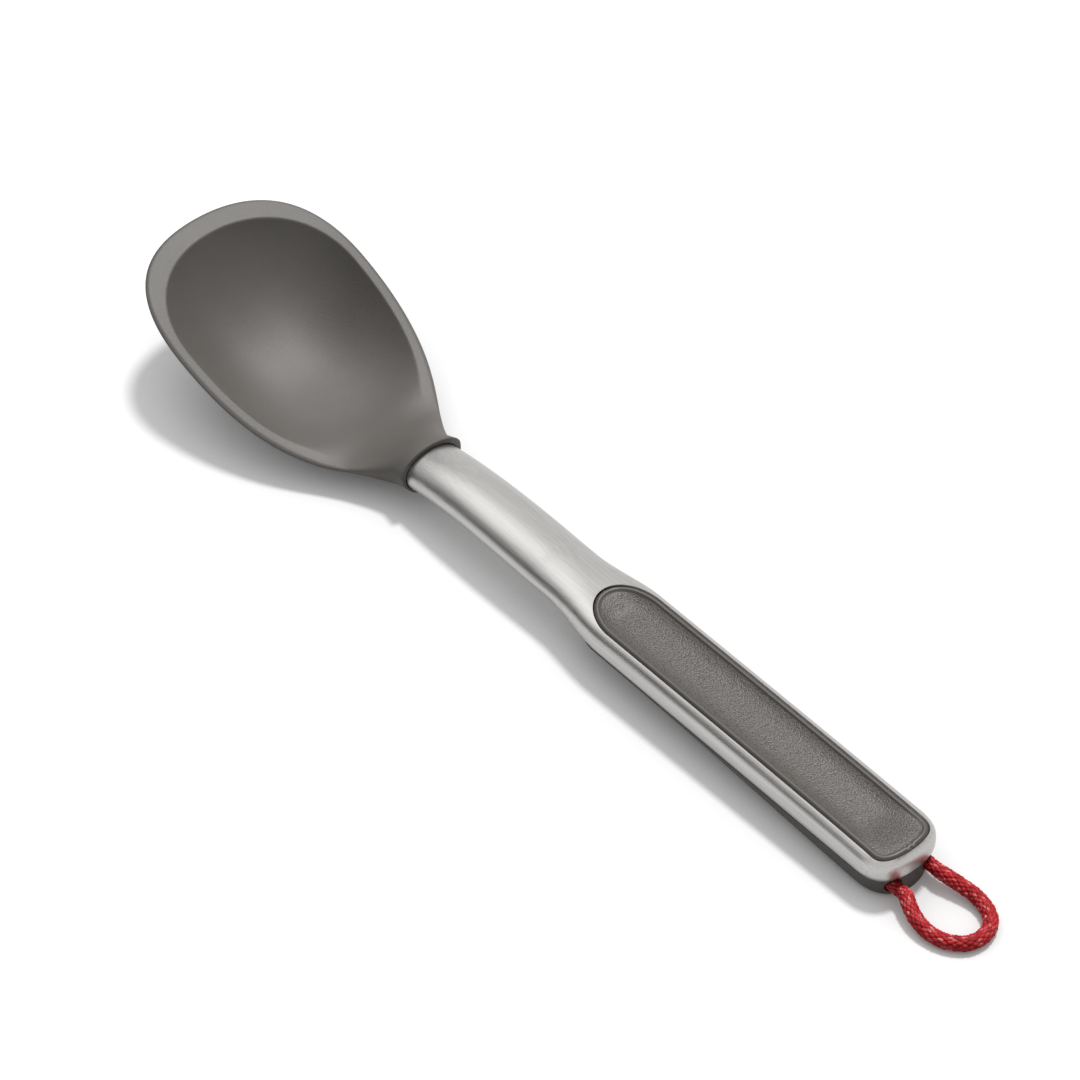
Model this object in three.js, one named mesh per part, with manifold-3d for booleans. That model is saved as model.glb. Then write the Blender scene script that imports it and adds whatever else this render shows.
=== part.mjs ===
// Cooking spoon: a silicone bowl on a flattened steel tube, which widens into a grip with a cord loop.
// Millimetres, +Z up. The spoon lies on its bowl and its underside grip, and +X runs from bowl to tail.

import * as THREE from "three";
import { mergeVertices } from "three/addons/utils/BufferGeometryUtils.js";
import Module from "manifold-3d";

const wasm = await Module();
wasm.setup();

// Lengths along the spoon
const HEAD_LENGTH = 103; // bowl tip to the end of the collar
const NECK_LENGTH = 51; // bare tube from the collar to the start of the shoulders
const GRIP_LENGTH = 138; // start of the shoulders to the tail
const FIT_GAP = 0.3; // clearance between neighbouring pieces

// Silicone head
const BOWL_WIDTH = 66.4;
const BOWL_WIDEST = 35; // tip to the widest place
const TIP_FULLNESS = 21; // sideways run of the tip before it turns back
const RIM_TIP_HEIGHT = 34.2; // rim above the worktop at the tip
const LIP_TIP_WIDTH = 6.8; // flat lip at the tip
const LIP_SIDE_WIDTH = 3.3; // flat lip along the sides
const LIP_EDGE = 1.2; // thickness of the lip's outer edge
const LIP_ROUND = 1; // rounding of the lip's outer corner
const BOWL_WALL = 3.6; // at the bottom of the bowl
const BOWL_LOWEST = 46; // tip to the place that rests on the worktop
const SILICONE_SKIN = 0.9; // silicone over each face of the stiffening core
const COLLAR_WALL = 1.1;
const COLLAR_FLARE = 0.2; // how far the collar's end opens out
const COLLAR_LEAN = 12; // degrees that the neck dips towards the bowl
const COLLAR_HEIGHT = 11.2; // middle of the collar's end above the worktop
const COLLAR_LIFT = 2; // widest line of the collar above its middle

// Stiffening core of the head
const CORE_EDGE_ANGLE = 36; // degrees down from the lip at which the core's plate ends
const CORE_TIP_INSET = 14; // bowl tip to the front of the core
const TUBE_INSERTION = 5; // steel tube inside the collar
const TANG_LENGTH = 34; // core's tang inside the steel tube

// Steel handle
const NECK_WIDTH = 19.6; // tube at the shoulders, where it is flattest
const NECK_HEIGHT = 10.4;
const TUBE_WIDTH = 18.6; // tube at the collar, where it is rounder
const TUBE_HEIGHT = 11;
const NECK_CREST = 14.4; // height that the neck's middle line arches towards
const STEEL_WALL = 1;
const GRIP_WIDTH = 24.2;
const SHOULDER_LENGTH = 26; // run over which the neck widens into the grip
const GRIP_TOP_TAIL = 14.2; // crown of the grip at the tail
const STEEL_EDGE_FRONT = 9.3; // lower edge of the steel at the front of the underside grip
const STEEL_EDGE_TAIL = 6.9; // lower edge of the steel at the tail
const EDGE_TO_WIDEST = 2.2; // steel's lower edge up to its widest line
const TAIL_ROUND = 10.8; // length of the rounded tail, seen from above
const TAIL_ROLL = 4; // length over which the tail rolls down

// Top grip pad
const PAD_WIDTH = 18.7;
const PAD_FROM_SHOULDER = 19.5; // start of the shoulders to the front of the pad
const PAD_TAIL_MARGIN = 2.1; // steel left behind the pad
const PAD_FRONT_ROUND = 12.5;
const PAD_TAIL_ROUND = 6;
const PAD_RIM = 1.6;
const PAD_SCOOP = 1.2; // depth of the scoop below the rim
const PAD_SINK = 0.3; // pad rim below the steel
const PAD_DEPTH = 4.3; // crown of the grip down to the underside of the pad
const PAD_FLANGE = 0.8; // flange under the steel, beyond the window
const PAD_FLANGE_THICKNESS = 1.1;

// Underside grip and the carrier inside the handle
const UNDERSIDE_INSET = 0.7; // underside grip's side within the steel's side
const UNDERSIDE_FROM_SHOULDER = 17;
const UNDERSIDE_TAIL_MARGIN = 1; // steel's tail beyond the underside grip
const UNDERSIDE_FRONT_LIFT = 3.7; // how far its front end clears the worktop
const UNDERSIDE_LEVEL = 48; // length of the rising front stretch
const UNDERSIDE_WALL = 2.4; // its sides
const UNDERSIDE_FLOOR = 1.9; // its bottom
const CARRIER_END_GAP = 4; // carrier's ends within the underside grip's ends

// Cord loop
const CORD_DIAMETER = 4;
const CORD_SPACING = 12; // between the two places where the cord leaves
const CORD_EXIT_HEIGHT = UNDERSIDE_FLOOR + FIT_GAP + CORD_DIAMETER / 2;
const LOOP_BACK = 15; // tail of the steel to the post that holds the cord
const LOOP_CLEAR = 0.05; // cord's underside above the worktop
const LOOP_REST_HEIGHT = CORD_DIAMETER / 2 + LOOP_CLEAR; // middle line of the resting cord

// Places along X
const TAIL_X = (HEAD_LENGTH + NECK_LENGTH + GRIP_LENGTH) / 2;
const TIP_X = -TAIL_X;
const COLLAR_X = TIP_X + HEAD_LENGTH;
const SHOULDER_X = COLLAR_X + NECK_LENGTH;
const PAD_FRONT_X = SHOULDER_X + PAD_FROM_SHOULDER;
const PAD_TAIL_X = TAIL_X - PAD_TAIL_MARGIN;
const UNDERSIDE_FRONT_X = SHOULDER_X + UNDERSIDE_FROM_SHOULDER;
const UNDERSIDE_TAIL_X = TAIL_X - UNDERSIDE_TAIL_MARGIN;
const TUBE_FRONT_X = COLLAR_X - TUBE_INSERTION;
const HINGE_X = TAIL_X + CORD_DIAMETER / 2 + FIT_GAP;

// Sampling of the faceted surfaces
const RAIL_STEPS = 160;
const TALL = 2 * GRIP_WIDTH; // reach of a cutting body past the handle
const END_SHORT = 0.05; // how far a rounded end stops short of a point

const at = (x, y) => new THREE.Vector2(x, y);
const lerp = THREE.MathUtils.lerp;
const smooth = THREE.MathUtils.smoothstep;

// A rail: the height or half width along X of one or more cubic curves, held level past its ends.
function rail(...spans) {
  const points = spans.flatMap((p) => new THREE.CubicBezierCurve(...p).getPoints(RAIL_STEPS));
  return (x) => {
    const next = points.findIndex((p) => p.x >= x);
    if (next === -1) return points[points.length - 1].y;
    if (next === 0) return points[0].y;
    const before = points[next - 1];
    const run = points[next].x - before.x;
    const share = run > 0 ? (x - before.x) / run : 1;
    return lerp(before.y, points[next].y, share);
  };
}

// Evenly spaced values from one end to the other.
function spread(from, to, count) {
  return Array.from({ length: count + 1 }, (_, i) => lerp(from, to, i / count));
}

// Values that crowd towards the far end, as a rounded end needs.
function crowd(from, to, count) {
  return spread(0, Math.PI / 2, count).map((angle) => lerp(from, to, Math.sin(angle)));
}

// Signed volume of an indexed closed surface.
function signedVolume(points, faces) {
  return faces.reduce((sum, [a, b, c]) => {
    const cross = new THREE.Vector3().crossVectors(points[b], points[c]);
    return sum + points[a].dot(cross) / 6;
  }, 0);
}

// Faces that close a section: a fan from its middle, or cut ears where the section bends round on itself.
function capFaces(section, offset, points) {
  const flat = section.map((p) => at(p.y, p.z));
  const turn = THREE.ShapeUtils.isClockWise(flat) ? -1 : 1;
  const middle = section.reduce((sum, p) => sum.add(p), new THREE.Vector3()).divideScalar(section.length);
  const centre = at(middle.y, middle.z);
  const seesEdge = (p, i) => {
    const next = flat[(i + 1) % flat.length];
    return turn * p.clone().sub(centre).cross(next.clone().sub(centre)) > 0;
  };
  if (flat.every(seesEdge)) {
    points.push(middle);
    const hub = points.length - 1;
    return section.map((_, i) => [offset + i, offset + ((i + 1) % section.length), hub]);
  }
  const ears = THREE.ShapeUtils.triangulateShape(flat, []);
  return ears.map((ear) => {
    const [a, b, c] = ear.map((i) => offset + i);
    return turn > 0 ? [a, b, c] : [a, c, b];
  });
}

// A solid skinned over closed sections that all have the same number of points.
function loft(sections) {
  const size = sections[0].length;
  const points = sections.flat();
  const lastStart = points.length - size;
  const faces = [];
  for (let start = 0; start < lastStart; start += size) {
    for (let i = 0; i < size; i++) {
      const a = start + i;
      const b = start + ((i + 1) % size);
      faces.push([a, b, b + size], [a, b + size, a + size]);
    }
  }
  const first = capFaces(sections[0], 0, points);
  const last = capFaces(sections[sections.length - 1], lastStart, points);
  faces.push(...first.map(([a, b, c]) => [a, c, b]), ...last);
  const outward = signedVolume(points, faces) > 0;
  const geometry = new THREE.BufferGeometry().setFromPoints(points);
  geometry.setIndex(faces.flatMap(([a, b, c]) => (outward ? [a, b, c] : [a, c, b])));
  return geometry;
}

// A closed geometry as a solid that can be joined and cut.
function solid(geometry) {
  const bare = geometry.clone();
  bare.deleteAttribute("normal");
  bare.deleteAttribute("uv");
  const merged = mergeVertices(bare, 1e-4);
  return new wasm.Manifold(
    new wasm.Mesh({
      numProp: 3,
      vertProperties: new Float32Array(merged.attributes.position.array),
      triVerts: new Uint32Array(merged.index.array),
    }),
  );
}

// A solid back as a geometry with flat facets.
function geometryOf(body) {
  const mesh = body.getMesh();
  const geometry = new THREE.BufferGeometry();
  geometry.setAttribute("position", new THREE.BufferAttribute(mesh.vertProperties, 3));
  geometry.setIndex(new THREE.BufferAttribute(mesh.triVerts, 1));
  const facets = geometry.toNonIndexed();
  facets.computeVertexNormals();
  return facets;
}

// A block between two heights over an outline drawn in plan.
function prism(outline, low, high) {
  const geometry = new THREE.ExtrudeGeometry(new THREE.Shape(outline), {
    depth: high - low,
    bevelEnabled: false,
  });
  return solid(geometry.translate(0, 0, low));
}

// A block across the spoon over a profile drawn from the side, as X and Z.
function crossBlock(profile, halfWidth) {
  const geometry = new THREE.ExtrudeGeometry(new THREE.Shape(profile), {
    depth: 2 * halfWidth,
    bevelEnabled: false,
  });
  return solid(geometry.rotateX(Math.PI / 2).translate(0, halfWidth, 0));
}

// Outline in plan, mirrored about the middle line, from a half width along X.
function planOutline(stations, halfWidth) {
  const side = stations.map((x) => at(x, halfWidth(x)));
  return [...side, ...side.map((p) => at(p.x, -p.y)).reverse()];
}

// Half width of a bar with an elliptic front and a squarer, rounded tail.
function roundedBar(front, tail, half, frontRound, tailRound, tailPower) {
  return (x) => {
    const ahead = Math.max(0, (front + frontRound - x) / frontRound);
    const behind = Math.max(0, (x - tail + tailRound) / tailRound);
    const frontShare = Math.sqrt(Math.max(0, 1 - ahead ** 2));
    const tailShare = Math.max(0, 1 - behind ** tailPower) ** (1 / tailPower);
    return half * Math.min(frontShare, tailShare);
  };
}

// Stations for such a bar, closer together round both ends, stopping just short of a point.
function barStations(front, tail, frontRound, tailRound, middleSteps, endSteps) {
  const ahead = crowd(front + frontRound, front + END_SHORT, endSteps).reverse();
  const behind = crowd(tail - tailRound, tail - END_SHORT, endSteps);
  const middle = spread(front + frontRound, tail - tailRound, middleSteps).slice(1, -1);
  return [...ahead, ...middle, ...behind];
}

// Silicone head

const collarHalfWidth = TUBE_WIDTH / 2 + FIT_GAP + COLLAR_WALL + COLLAR_FLARE / 2;
const collarHalfHeight = TUBE_HEIGHT / 2 + FIT_GAP + COLLAR_WALL;
const waistHalfWidth = collarHalfWidth - COLLAR_FLARE;
const WAIST_RUN = 5; // collar's end back to its narrowest place
const waistX = COLLAR_X - WAIST_RUN;
const widestX = TIP_X + BOWL_WIDEST;
const lowestX = TIP_X + BOWL_LOWEST;
const halfBowl = BOWL_WIDTH / 2;
const lean = Math.tan(THREE.MathUtils.degToRad(COLLAR_LEAN));

// Outer edge of the lip in plan: a full round tip, then a long taper into the collar.
const TIP_ROUND_RUN = 23.4; // run of the tip's curve ahead of the widest place
const FLANK_RUN = 38; // run of the flank's curve behind the widest place
const FLANK_TAPER = 16; // run of the taper into the waist
const FLANK_SPREAD = 7.2; // how much wider the taper is where it starts
const tipEdge = [
  at(TIP_X, 0),
  at(TIP_X, TIP_FULLNESS),
  at(widestX - TIP_ROUND_RUN, halfBowl),
  at(widestX, halfBowl),
];
const flankEdge = [
  at(widestX, halfBowl),
  at(widestX + FLANK_RUN, halfBowl),
  at(waistX - FLANK_TAPER, waistHalfWidth + FLANK_SPREAD),
  at(waistX, waistHalfWidth),
];
const collarEdge = [
  at(waistX, waistHalfWidth),
  at(waistX + WAIST_RUN / 3, waistHalfWidth - COLLAR_FLARE / 3),
  at(COLLAR_X - WAIST_RUN / 3, waistHalfWidth),
  at(COLLAR_X, collarHalfWidth),
];
const lipHalfWidth = rail(tipEdge, flankEdge, collarEdge);

// Inner edge of the lip in plan.
const INNER_END = 18; // collar's end back to where the hollow fades out
const innerTipX = TIP_X + LIP_TIP_WIDTH;
const innerHalf = halfBowl - LIP_SIDE_WIDTH;
const innerEndX = COLLAR_X - INNER_END;
const hollowTip = [
  at(innerTipX, 0),
  at(innerTipX, TIP_FULLNESS - LIP_SIDE_WIDTH),
  at(widestX - TIP_ROUND_RUN + LIP_TIP_WIDTH, innerHalf),
  at(widestX, innerHalf),
];
const hollowFlank = [
  at(widestX, innerHalf),
  at(widestX + FLANK_RUN - LIP_SIDE_WIDTH, innerHalf),
  at(innerEndX - FLANK_TAPER / 2, waistHalfWidth + FLANK_SPREAD),
  at(innerEndX, waistHalfWidth),
];
const hollowHalfWidth = rail(hollowTip, hollowFlank);

// How far a section has turned from the bowl's bow shape into the collar's oval.
const BLEND_START = 24; // collar's end back to where the change begins
const BLEND_END = 5;
const collarShare = (x) => smooth(x, COLLAR_X - BLEND_START, COLLAR_X - BLEND_END);

// Height of the lip seen from the side: it runs down from the tip and joins the collar's widest line.
const RIM_FALL_TIP = 8.2; // drop of the lip over the first stretch behind the tip
const RIM_FALL_RUN = 42;
const RIM_DIP_RUN = 23; // run of the lip's dip ahead of the collar
const RIM_DIP = 12.2;
const lipLine = rail([
  at(TIP_X, RIM_TIP_HEIGHT),
  at(TIP_X + RIM_FALL_RUN, RIM_TIP_HEIGHT - RIM_FALL_TIP),
  at(COLLAR_X - RIM_DIP_RUN, COLLAR_HEIGHT - RIM_DIP),
  at(COLLAR_X, COLLAR_HEIGHT),
]);
const lipHeight = (x) => lipLine(x) + COLLAR_LIFT * collarShare(x);

// Underside of the bowl along the middle.
const KEEL_TIP_RUN = 8;
const KEEL_TIP_DROP = 17;
const KEEL_FLAT = 22; // how long the bottom stays near the worktop, each way
const keelHeight = rail(
  [
    at(TIP_X, RIM_TIP_HEIGHT - LIP_EDGE),
    at(TIP_X + KEEL_TIP_RUN, RIM_TIP_HEIGHT - KEEL_TIP_DROP),
    at(lowestX - KEEL_FLAT, 0),
    at(lowestX, 0),
  ],
  [
    at(lowestX, 0),
    at(lowestX + KEEL_FLAT, 0),
    at(COLLAR_X - KEEL_FLAT / 2, COLLAR_HEIGHT - collarHalfHeight - lean * (KEEL_FLAT / 2)),
    at(COLLAR_X, COLLAR_HEIGHT - collarHalfHeight),
  ],
);

// Inside of the bowl along the middle, rising in a smooth ramp to the top of the collar.
const HOLLOW_TIP_RUN = 6;
const HOLLOW_TIP_DROP = 15;
const HOLLOW_FLAT = 34; // flat stretch of the bowl's floor behind its lowest place
const RAMP_RUN = 10;
const RAMP_DROP = 2.4;
const lowestInside = lowestX + LIP_SIDE_WIDTH;
const floorHeight = rail(
  [
    at(innerTipX, lipHeight(innerTipX)),
    at(innerTipX + HOLLOW_TIP_RUN, lipHeight(innerTipX) - HOLLOW_TIP_DROP),
    at(lowestInside - KEEL_FLAT, BOWL_WALL),
    at(lowestInside, BOWL_WALL),
  ],
  [
    at(lowestInside, BOWL_WALL),
    at(lowestInside + HOLLOW_FLAT, BOWL_WALL),
    at(COLLAR_X - RAMP_RUN, COLLAR_HEIGHT + collarHalfHeight - RAMP_DROP),
    at(COLLAR_X, COLLAR_HEIGHT + collarHalfHeight),
  ],
);

// How far the hollow has turned into the ramp, which is as wide as the head.
const RAMP_START = 27; // collar's end back to where the change begins
const RAMP_END = 18;
const rampShare = (x) => smooth(x, COLLAR_X - RAMP_START, COLLAR_X - RAMP_END);

const HEAD_LOWER = 18;
const HEAD_UPPER = 16;

// Half width of the hollow just behind its front, from which its rounded end is drawn.
const FRONT_SHARE = 0.1;
const hollowFront = new THREE.CubicBezierCurve(...hollowTip).getPoint(FRONT_SHARE).y;

// One closed section of the silicone, across the spoon.
function headSection(x) {
  const half = lipHalfWidth(x);
  const edge = lipHeight(x);
  const oval = collarShare(x);
  const inHollow = x > innerTipX;
  const opening = inHollow ? Math.min(hollowHalfWidth(x), half) : Math.min(half / 3, hollowFront);
  const hollow = lerp(opening, half, rampShare(x));
  const side = LIP_EDGE * (1 - oval);
  const keel = Math.min(keelHeight(x), edge - side);
  const floor = inHollow ? floorHeight(x) : edge;
  const power = lerp(2, 1, oval);
  const tilt = -lean * oval;
  const place = (y, z) => new THREE.Vector3(x + tilt * (z - edge), y, z);
  const lower = spread(0, Math.PI, HEAD_LOWER).map((angle) =>
    place(half * Math.cos(angle), edge - side - (edge - side - keel) * Math.sin(angle) ** power),
  );
  const upper = spread(Math.PI, 0, HEAD_UPPER).map((angle) =>
    place(hollow * Math.cos(angle), edge - (edge - floor) * Math.sin(angle) ** power),
  );
  const inLip = Math.max(half - LIP_ROUND * (1 - oval), half / 2);
  const round = (sign) => place(sign * inLip, edge);
  const brow = (sign) => place(sign * half, edge - side / 2);
  return [...lower, brow(-1), round(-1), ...upper, round(1), brow(1)];
}

// Stations follow the lip's edge round the tip, then the hollow's edge, then the taper.
const alongCurve = (curve, shares) => shares.map((t) => new THREE.CubicBezierCurve(...curve).getPoint(t).x);
const headStations = [
  ...alongCurve(tipEdge, [0.03, 0.1, 0.17, 0.24, 0.31, 0.38]),
  ...alongCurve(hollowTip, [0, FRONT_SHARE, 0.2, 0.3, 0.4, 0.5, 0.6, 0.7, 0.85]),
  ...spread(widestX, COLLAR_X - BLEND_START, 8),
  ...spread(COLLAR_X - BLEND_START, COLLAR_X, 11).slice(1),
];

// The tube's half width and half height, rounder at the collar and flatter towards the grip.
const neckShare = (x) => smooth(x, COLLAR_X, SHOULDER_X);
const neckHalfWidth = (x) => lerp(TUBE_WIDTH, NECK_WIDTH, neckShare(x)) / 2;
const neckHalfHeight = (x) => lerp(TUBE_HEIGHT, NECK_HEIGHT, neckShare(x)) / 2;

// Middle line of the tube: it rises out of the collar, arches over and falls slowly to the grip.
const NECK_CURVE_RUN = 7.5; // run of the neck's curve on either side of the collar's end
const NECK_RISE = 2.2; // rise of the tube just behind the collar
const NECK_ARCH_RUN = 20.4; // collar's end to the top of the arch
const NECK_REST_FALL = 1.5; // fall from the arch to the shoulders
const neckAxis = rail([
  at(COLLAR_X - 2 * NECK_CURVE_RUN, COLLAR_HEIGHT - lean * 2 * NECK_CURVE_RUN),
  at(COLLAR_X + NECK_CURVE_RUN, COLLAR_HEIGHT + NECK_RISE),
  at(COLLAR_X + NECK_ARCH_RUN, NECK_CREST),
  at(SHOULDER_X, NECK_CREST - NECK_REST_FALL),
]);

// An oval section across the spoon.
function ovalSection(x, middle, halfWidth, halfHeight, count) {
  const angles = spread(0, 2 * Math.PI, count).slice(0, -1);
  return angles.map((angle) => {
    const height = middle + halfHeight * Math.sin(angle);
    return new THREE.Vector3(x, halfWidth * Math.cos(angle), height);
  });
}

const HANDLE_SIDES = 32;
const CORE_ARC = 7;
const TANG_SIDES = 16;
const coreFrontX = TIP_X + CORE_TIP_INSET;
const PLATE_OVERRUN = 2; // plate carried on into the change of section
const TANG_ROOT = 10; // tang carried forward into the plate
const coreBackX = COLLAR_X - BLEND_START + PLATE_OVERRUN;
const tangBackX = TUBE_FRONT_X + TANG_LENGTH;

// Curved plate inside the bowl's wall, with so much silicone over each face.
function corePlate(cover, front, back) {
  const edgeAngle = THREE.MathUtils.degToRad(CORE_EDGE_ANGLE);
  const sections = spread(front, back, 12).map((x) => {
    const rim = edgeAngle + (cover - SILICONE_SKIN) / (lipHalfWidth(x) * Math.sin(edgeAngle));
    const angles = spread(rim, Math.PI - rim, CORE_ARC * 2);
    const edge = lipHeight(x);
    const outer = lipHalfWidth(x) - cover;
    const inner = Math.min(hollowHalfWidth(x), lipHalfWidth(x)) + cover;
    const below = keelHeight(x) + cover;
    const above = floorHeight(x) - cover;
    const curve = (half, low) => (angle) =>
      new THREE.Vector3(x, half * Math.cos(angle), edge - (edge - low) * Math.sin(angle) ** 2);
    return [...angles.map(curve(outer, below)), ...angles.map(curve(inner, above)).reverse()];
  });
  return solid(loft(sections));
}

// Tang that leads from the plate into the steel tube.
function coreTang(cover, slack, back) {
  const clear = STEEL_WALL + FIT_GAP - slack;
  const inHead = spread(coreBackX - TANG_ROOT, TUBE_FRONT_X, 6);
  const stations = [...inHead, ...spread(TUBE_FRONT_X, back, 9).slice(1)];
  const sections = stations.map((x) => {
    const axis = neckAxis(x);
    const tall = neckHalfHeight(x) - clear;
    const inTube = x >= TUBE_FRONT_X;
    const top = inTube ? axis + tall : Math.min(axis + tall, floorHeight(x) - cover);
    const bottom = inTube ? axis - tall : Math.max(axis - tall, keelHeight(x) + cover);
    return ovalSection(x, (top + bottom) / 2, neckHalfWidth(x) - clear, (top - bottom) / 2, TANG_SIDES);
  });
  return solid(loft(sections));
}

// Steel tube from the collar to the shoulders, as a plain bar with some slack round it.
function neckBar(slack, front, back, steps) {
  const sections = spread(front, back, steps).map((x) =>
    ovalSection(x, neckAxis(x), neckHalfWidth(x) + slack, neckHalfHeight(x) + slack, HANDLE_SIDES),
  );
  return solid(loft(sections));
}

function makeSiliconeHead() {
  const body = solid(loft(headStations.map(headSection)));
  const coreRoom = SILICONE_SKIN;
  const pocket = corePlate(coreRoom, coreFrontX - FIT_GAP, coreBackX + FIT_GAP)
    .add(coreTang(coreRoom, FIT_GAP, COLLAR_X))
    .add(neckBar(FIT_GAP, TUBE_FRONT_X - FIT_GAP, COLLAR_X + collarHalfHeight, 8));
  return geometryOf(body.subtract(pocket));
}

function makeHeadCore() {
  const cover = SILICONE_SKIN + FIT_GAP;
  return geometryOf(corePlate(cover, coreFrontX, coreBackX).add(coreTang(cover, 0, tangBackX)));
}

// Steel handle

const gripHalf = GRIP_WIDTH / 2;
const SHOULDER_ROLL = 12; // how far the crown's first curve runs past the shoulders
const SHOULDER_DROP = 1.9;
const CROWN_HOLD = 51; // how far ahead of the tail the crown starts to fall
const CROWN_FALL = 3.1;
const neckTop = NECK_CREST - NECK_REST_FALL + NECK_HEIGHT / 2;
const crown = rail([
  at(SHOULDER_X, neckTop),
  at(SHOULDER_X + SHOULDER_ROLL, neckTop - SHOULDER_DROP),
  at(TAIL_X - CROWN_HOLD, GRIP_TOP_TAIL + CROWN_FALL),
  at(TAIL_X, GRIP_TOP_TAIL),
]);

// Lower edge of the steel along the grip, a straight line seen from the side.
const edgeHeight = (x) =>
  lerp(STEEL_EDGE_FRONT, STEEL_EDGE_TAIL, (x - UNDERSIDE_FRONT_X) / (TAIL_X - UNDERSIDE_FRONT_X));
const gripShare = (x) => smooth(x, SHOULDER_X, SHOULDER_X + SHOULDER_LENGTH);
const widestHeight = (x) => lerp(neckAxis(x), edgeHeight(x) + EDGE_TO_WIDEST, gripShare(x));
const TAIL_POWER = 2.6;
const TAIL_ROLL_LEFT = 0.25; // how much of the roll is left standing as the tail's end face
const CROWN_POWER = 3.4; // squareness of the grip's shoulders
const BELLY_POWER = 2.4;

// Upper surface of the handle over any place in plan, set in by a wall.
function handleTop(x, y, inset) {
  const half = handleHalfWidth(x, 0);
  const power = lerp(2, CROWN_POWER, gripShare(x));
  const share = Math.max(0, 1 - Math.min(1, Math.abs(y) / half) ** power) ** (1 / power);
  return widestHeight(x) + (crown(x) - widestHeight(x)) * tailRoll(x, 0) * share - inset;
}

// Share of the crown's height that is left where the tail rolls down.
function tailRoll(x, inset) {
  const roll = Math.max(0, (x - TAIL_X + inset + TAIL_ROLL) / TAIL_ROLL);
  return Math.max(TAIL_ROLL_LEFT, 1 - roll ** TAIL_POWER) ** (1 / TAIL_POWER);
}

// Half width of the handle at a height above its widest line.
function handleHalfAt(x, z, inset) {
  const power = lerp(2, CROWN_POWER, gripShare(x));
  const rise = Math.min(1, (z - widestHeight(x)) / (handleTop(x, 0, inset) - widestHeight(x)));
  return handleHalfWidth(x, inset) * Math.max(0, 1 - Math.max(0, rise) ** power) ** (1 / power);
}

// Half width of the handle along X, with its rounded tail.
function handleHalfWidth(x, inset) {
  const along = lerp(neckHalfWidth(x), gripHalf, gripShare(x));
  const behind = Math.max(0, (x - TAIL_X + inset + TAIL_ROUND) / TAIL_ROUND);
  return (along - inset) * Math.max(0, 1 - behind ** TAIL_POWER) ** (1 / TAIL_POWER);
}

// One closed section of the handle, set in by a wall.
function handleSection(x, inset) {
  const half = handleHalfWidth(x, inset);
  const share = gripShare(x);
  const middle = widestHeight(x);
  const top = (x < SHOULDER_X ? neckHalfHeight(x) : (crown(x) - middle) * tailRoll(x, inset)) - inset;
  const bottom = neckHalfHeight(x) - inset;
  return spread(0, 2 * Math.PI, HANDLE_SIDES)
    .slice(0, -1)
    .map((angle) => {
      const upper = Math.sin(angle) >= 0;
      const power = lerp(2, upper ? CROWN_POWER : BELLY_POWER, share);
      const across = Math.sign(Math.cos(angle)) * Math.abs(Math.cos(angle)) ** (2 / power);
      const up = Math.sign(Math.sin(angle)) * Math.abs(Math.sin(angle)) ** (2 / power);
      return new THREE.Vector3(x, half * across, middle + (upper ? top : bottom) * up);
    });
}

function handleBody(inset, front) {
  const stations = [
    ...spread(front, SHOULDER_X, 14),
    ...spread(SHOULDER_X, SHOULDER_X + SHOULDER_LENGTH, 8).slice(1),
    ...spread(SHOULDER_X + SHOULDER_LENGTH, TAIL_X - TAIL_ROUND - inset, 7).slice(1),
    ...crowd(TAIL_X - TAIL_ROUND - inset, TAIL_X - inset - END_SHORT, 8).slice(1),
  ];
  return solid(loft(stations.map((x) => handleSection(x, inset))));
}

// Space under the grip's steel edge, with a rounded front, that the underside grip fills.
const UNDERSIDE_FRONT_ROUND = 11;
const undersideHalf = gripHalf - UNDERSIDE_INSET;
function undersideSpace(slack) {
  const front = UNDERSIDE_FRONT_X - slack;
  const back = TAIL_X + TALL;
  const width = (x) => {
    const ahead = Math.max(0, (front + UNDERSIDE_FRONT_ROUND - x) / UNDERSIDE_FRONT_ROUND);
    return (undersideHalf + slack + UNDERSIDE_INSET) * Math.sqrt(Math.max(0, 1 - ahead ** 2));
  };
  const stations = [...crowd(front + UNDERSIDE_FRONT_ROUND, front + END_SHORT, 12).reverse(), back];
  const plan = prism(planOutline(stations, width), -TALL, TALL);
  const side = crossBlock(
    [at(front, -TALL / 2), at(back, -TALL / 2), at(back, edgeHeight(back)), at(front, edgeHeight(front))],
    TALL,
  );
  return plan.intersect(side);
}

const padHalfWidth = (slack) =>
  roundedBar(
    PAD_FRONT_X - slack,
    PAD_TAIL_X + slack,
    PAD_WIDTH / 2 + slack,
    PAD_FRONT_ROUND,
    PAD_TAIL_ROUND,
    TAIL_POWER,
  );
const padStations = (slack) =>
  barStations(PAD_FRONT_X - slack, PAD_TAIL_X + slack, PAD_FRONT_ROUND, PAD_TAIL_ROUND, 8, 8);

function makeSteelHandle() {
  const outline = planOutline(padStations(FIT_GAP), padHalfWidth(FIT_GAP));
  const window = prism(outline, widestHeight(PAD_TAIL_X), TALL);
  const bore = handleBody(STEEL_WALL, TUBE_FRONT_X - STEEL_WALL);
  const shell = handleBody(0, TUBE_FRONT_X).subtract(bore);
  return geometryOf(shell.subtract(undersideSpace(FIT_GAP)).subtract(window));
}

// Top grip pad

const padUnderside = (x) => crown(x) - PAD_DEPTH;
const SCOOP_FRONT = 9; // run of the thumb scoop's front slope
const SCOOP_TAIL = 14;
const SCOOP_POWER = 4; // how flat the scoop is across
const PAD_ACROSS = 12;

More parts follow.
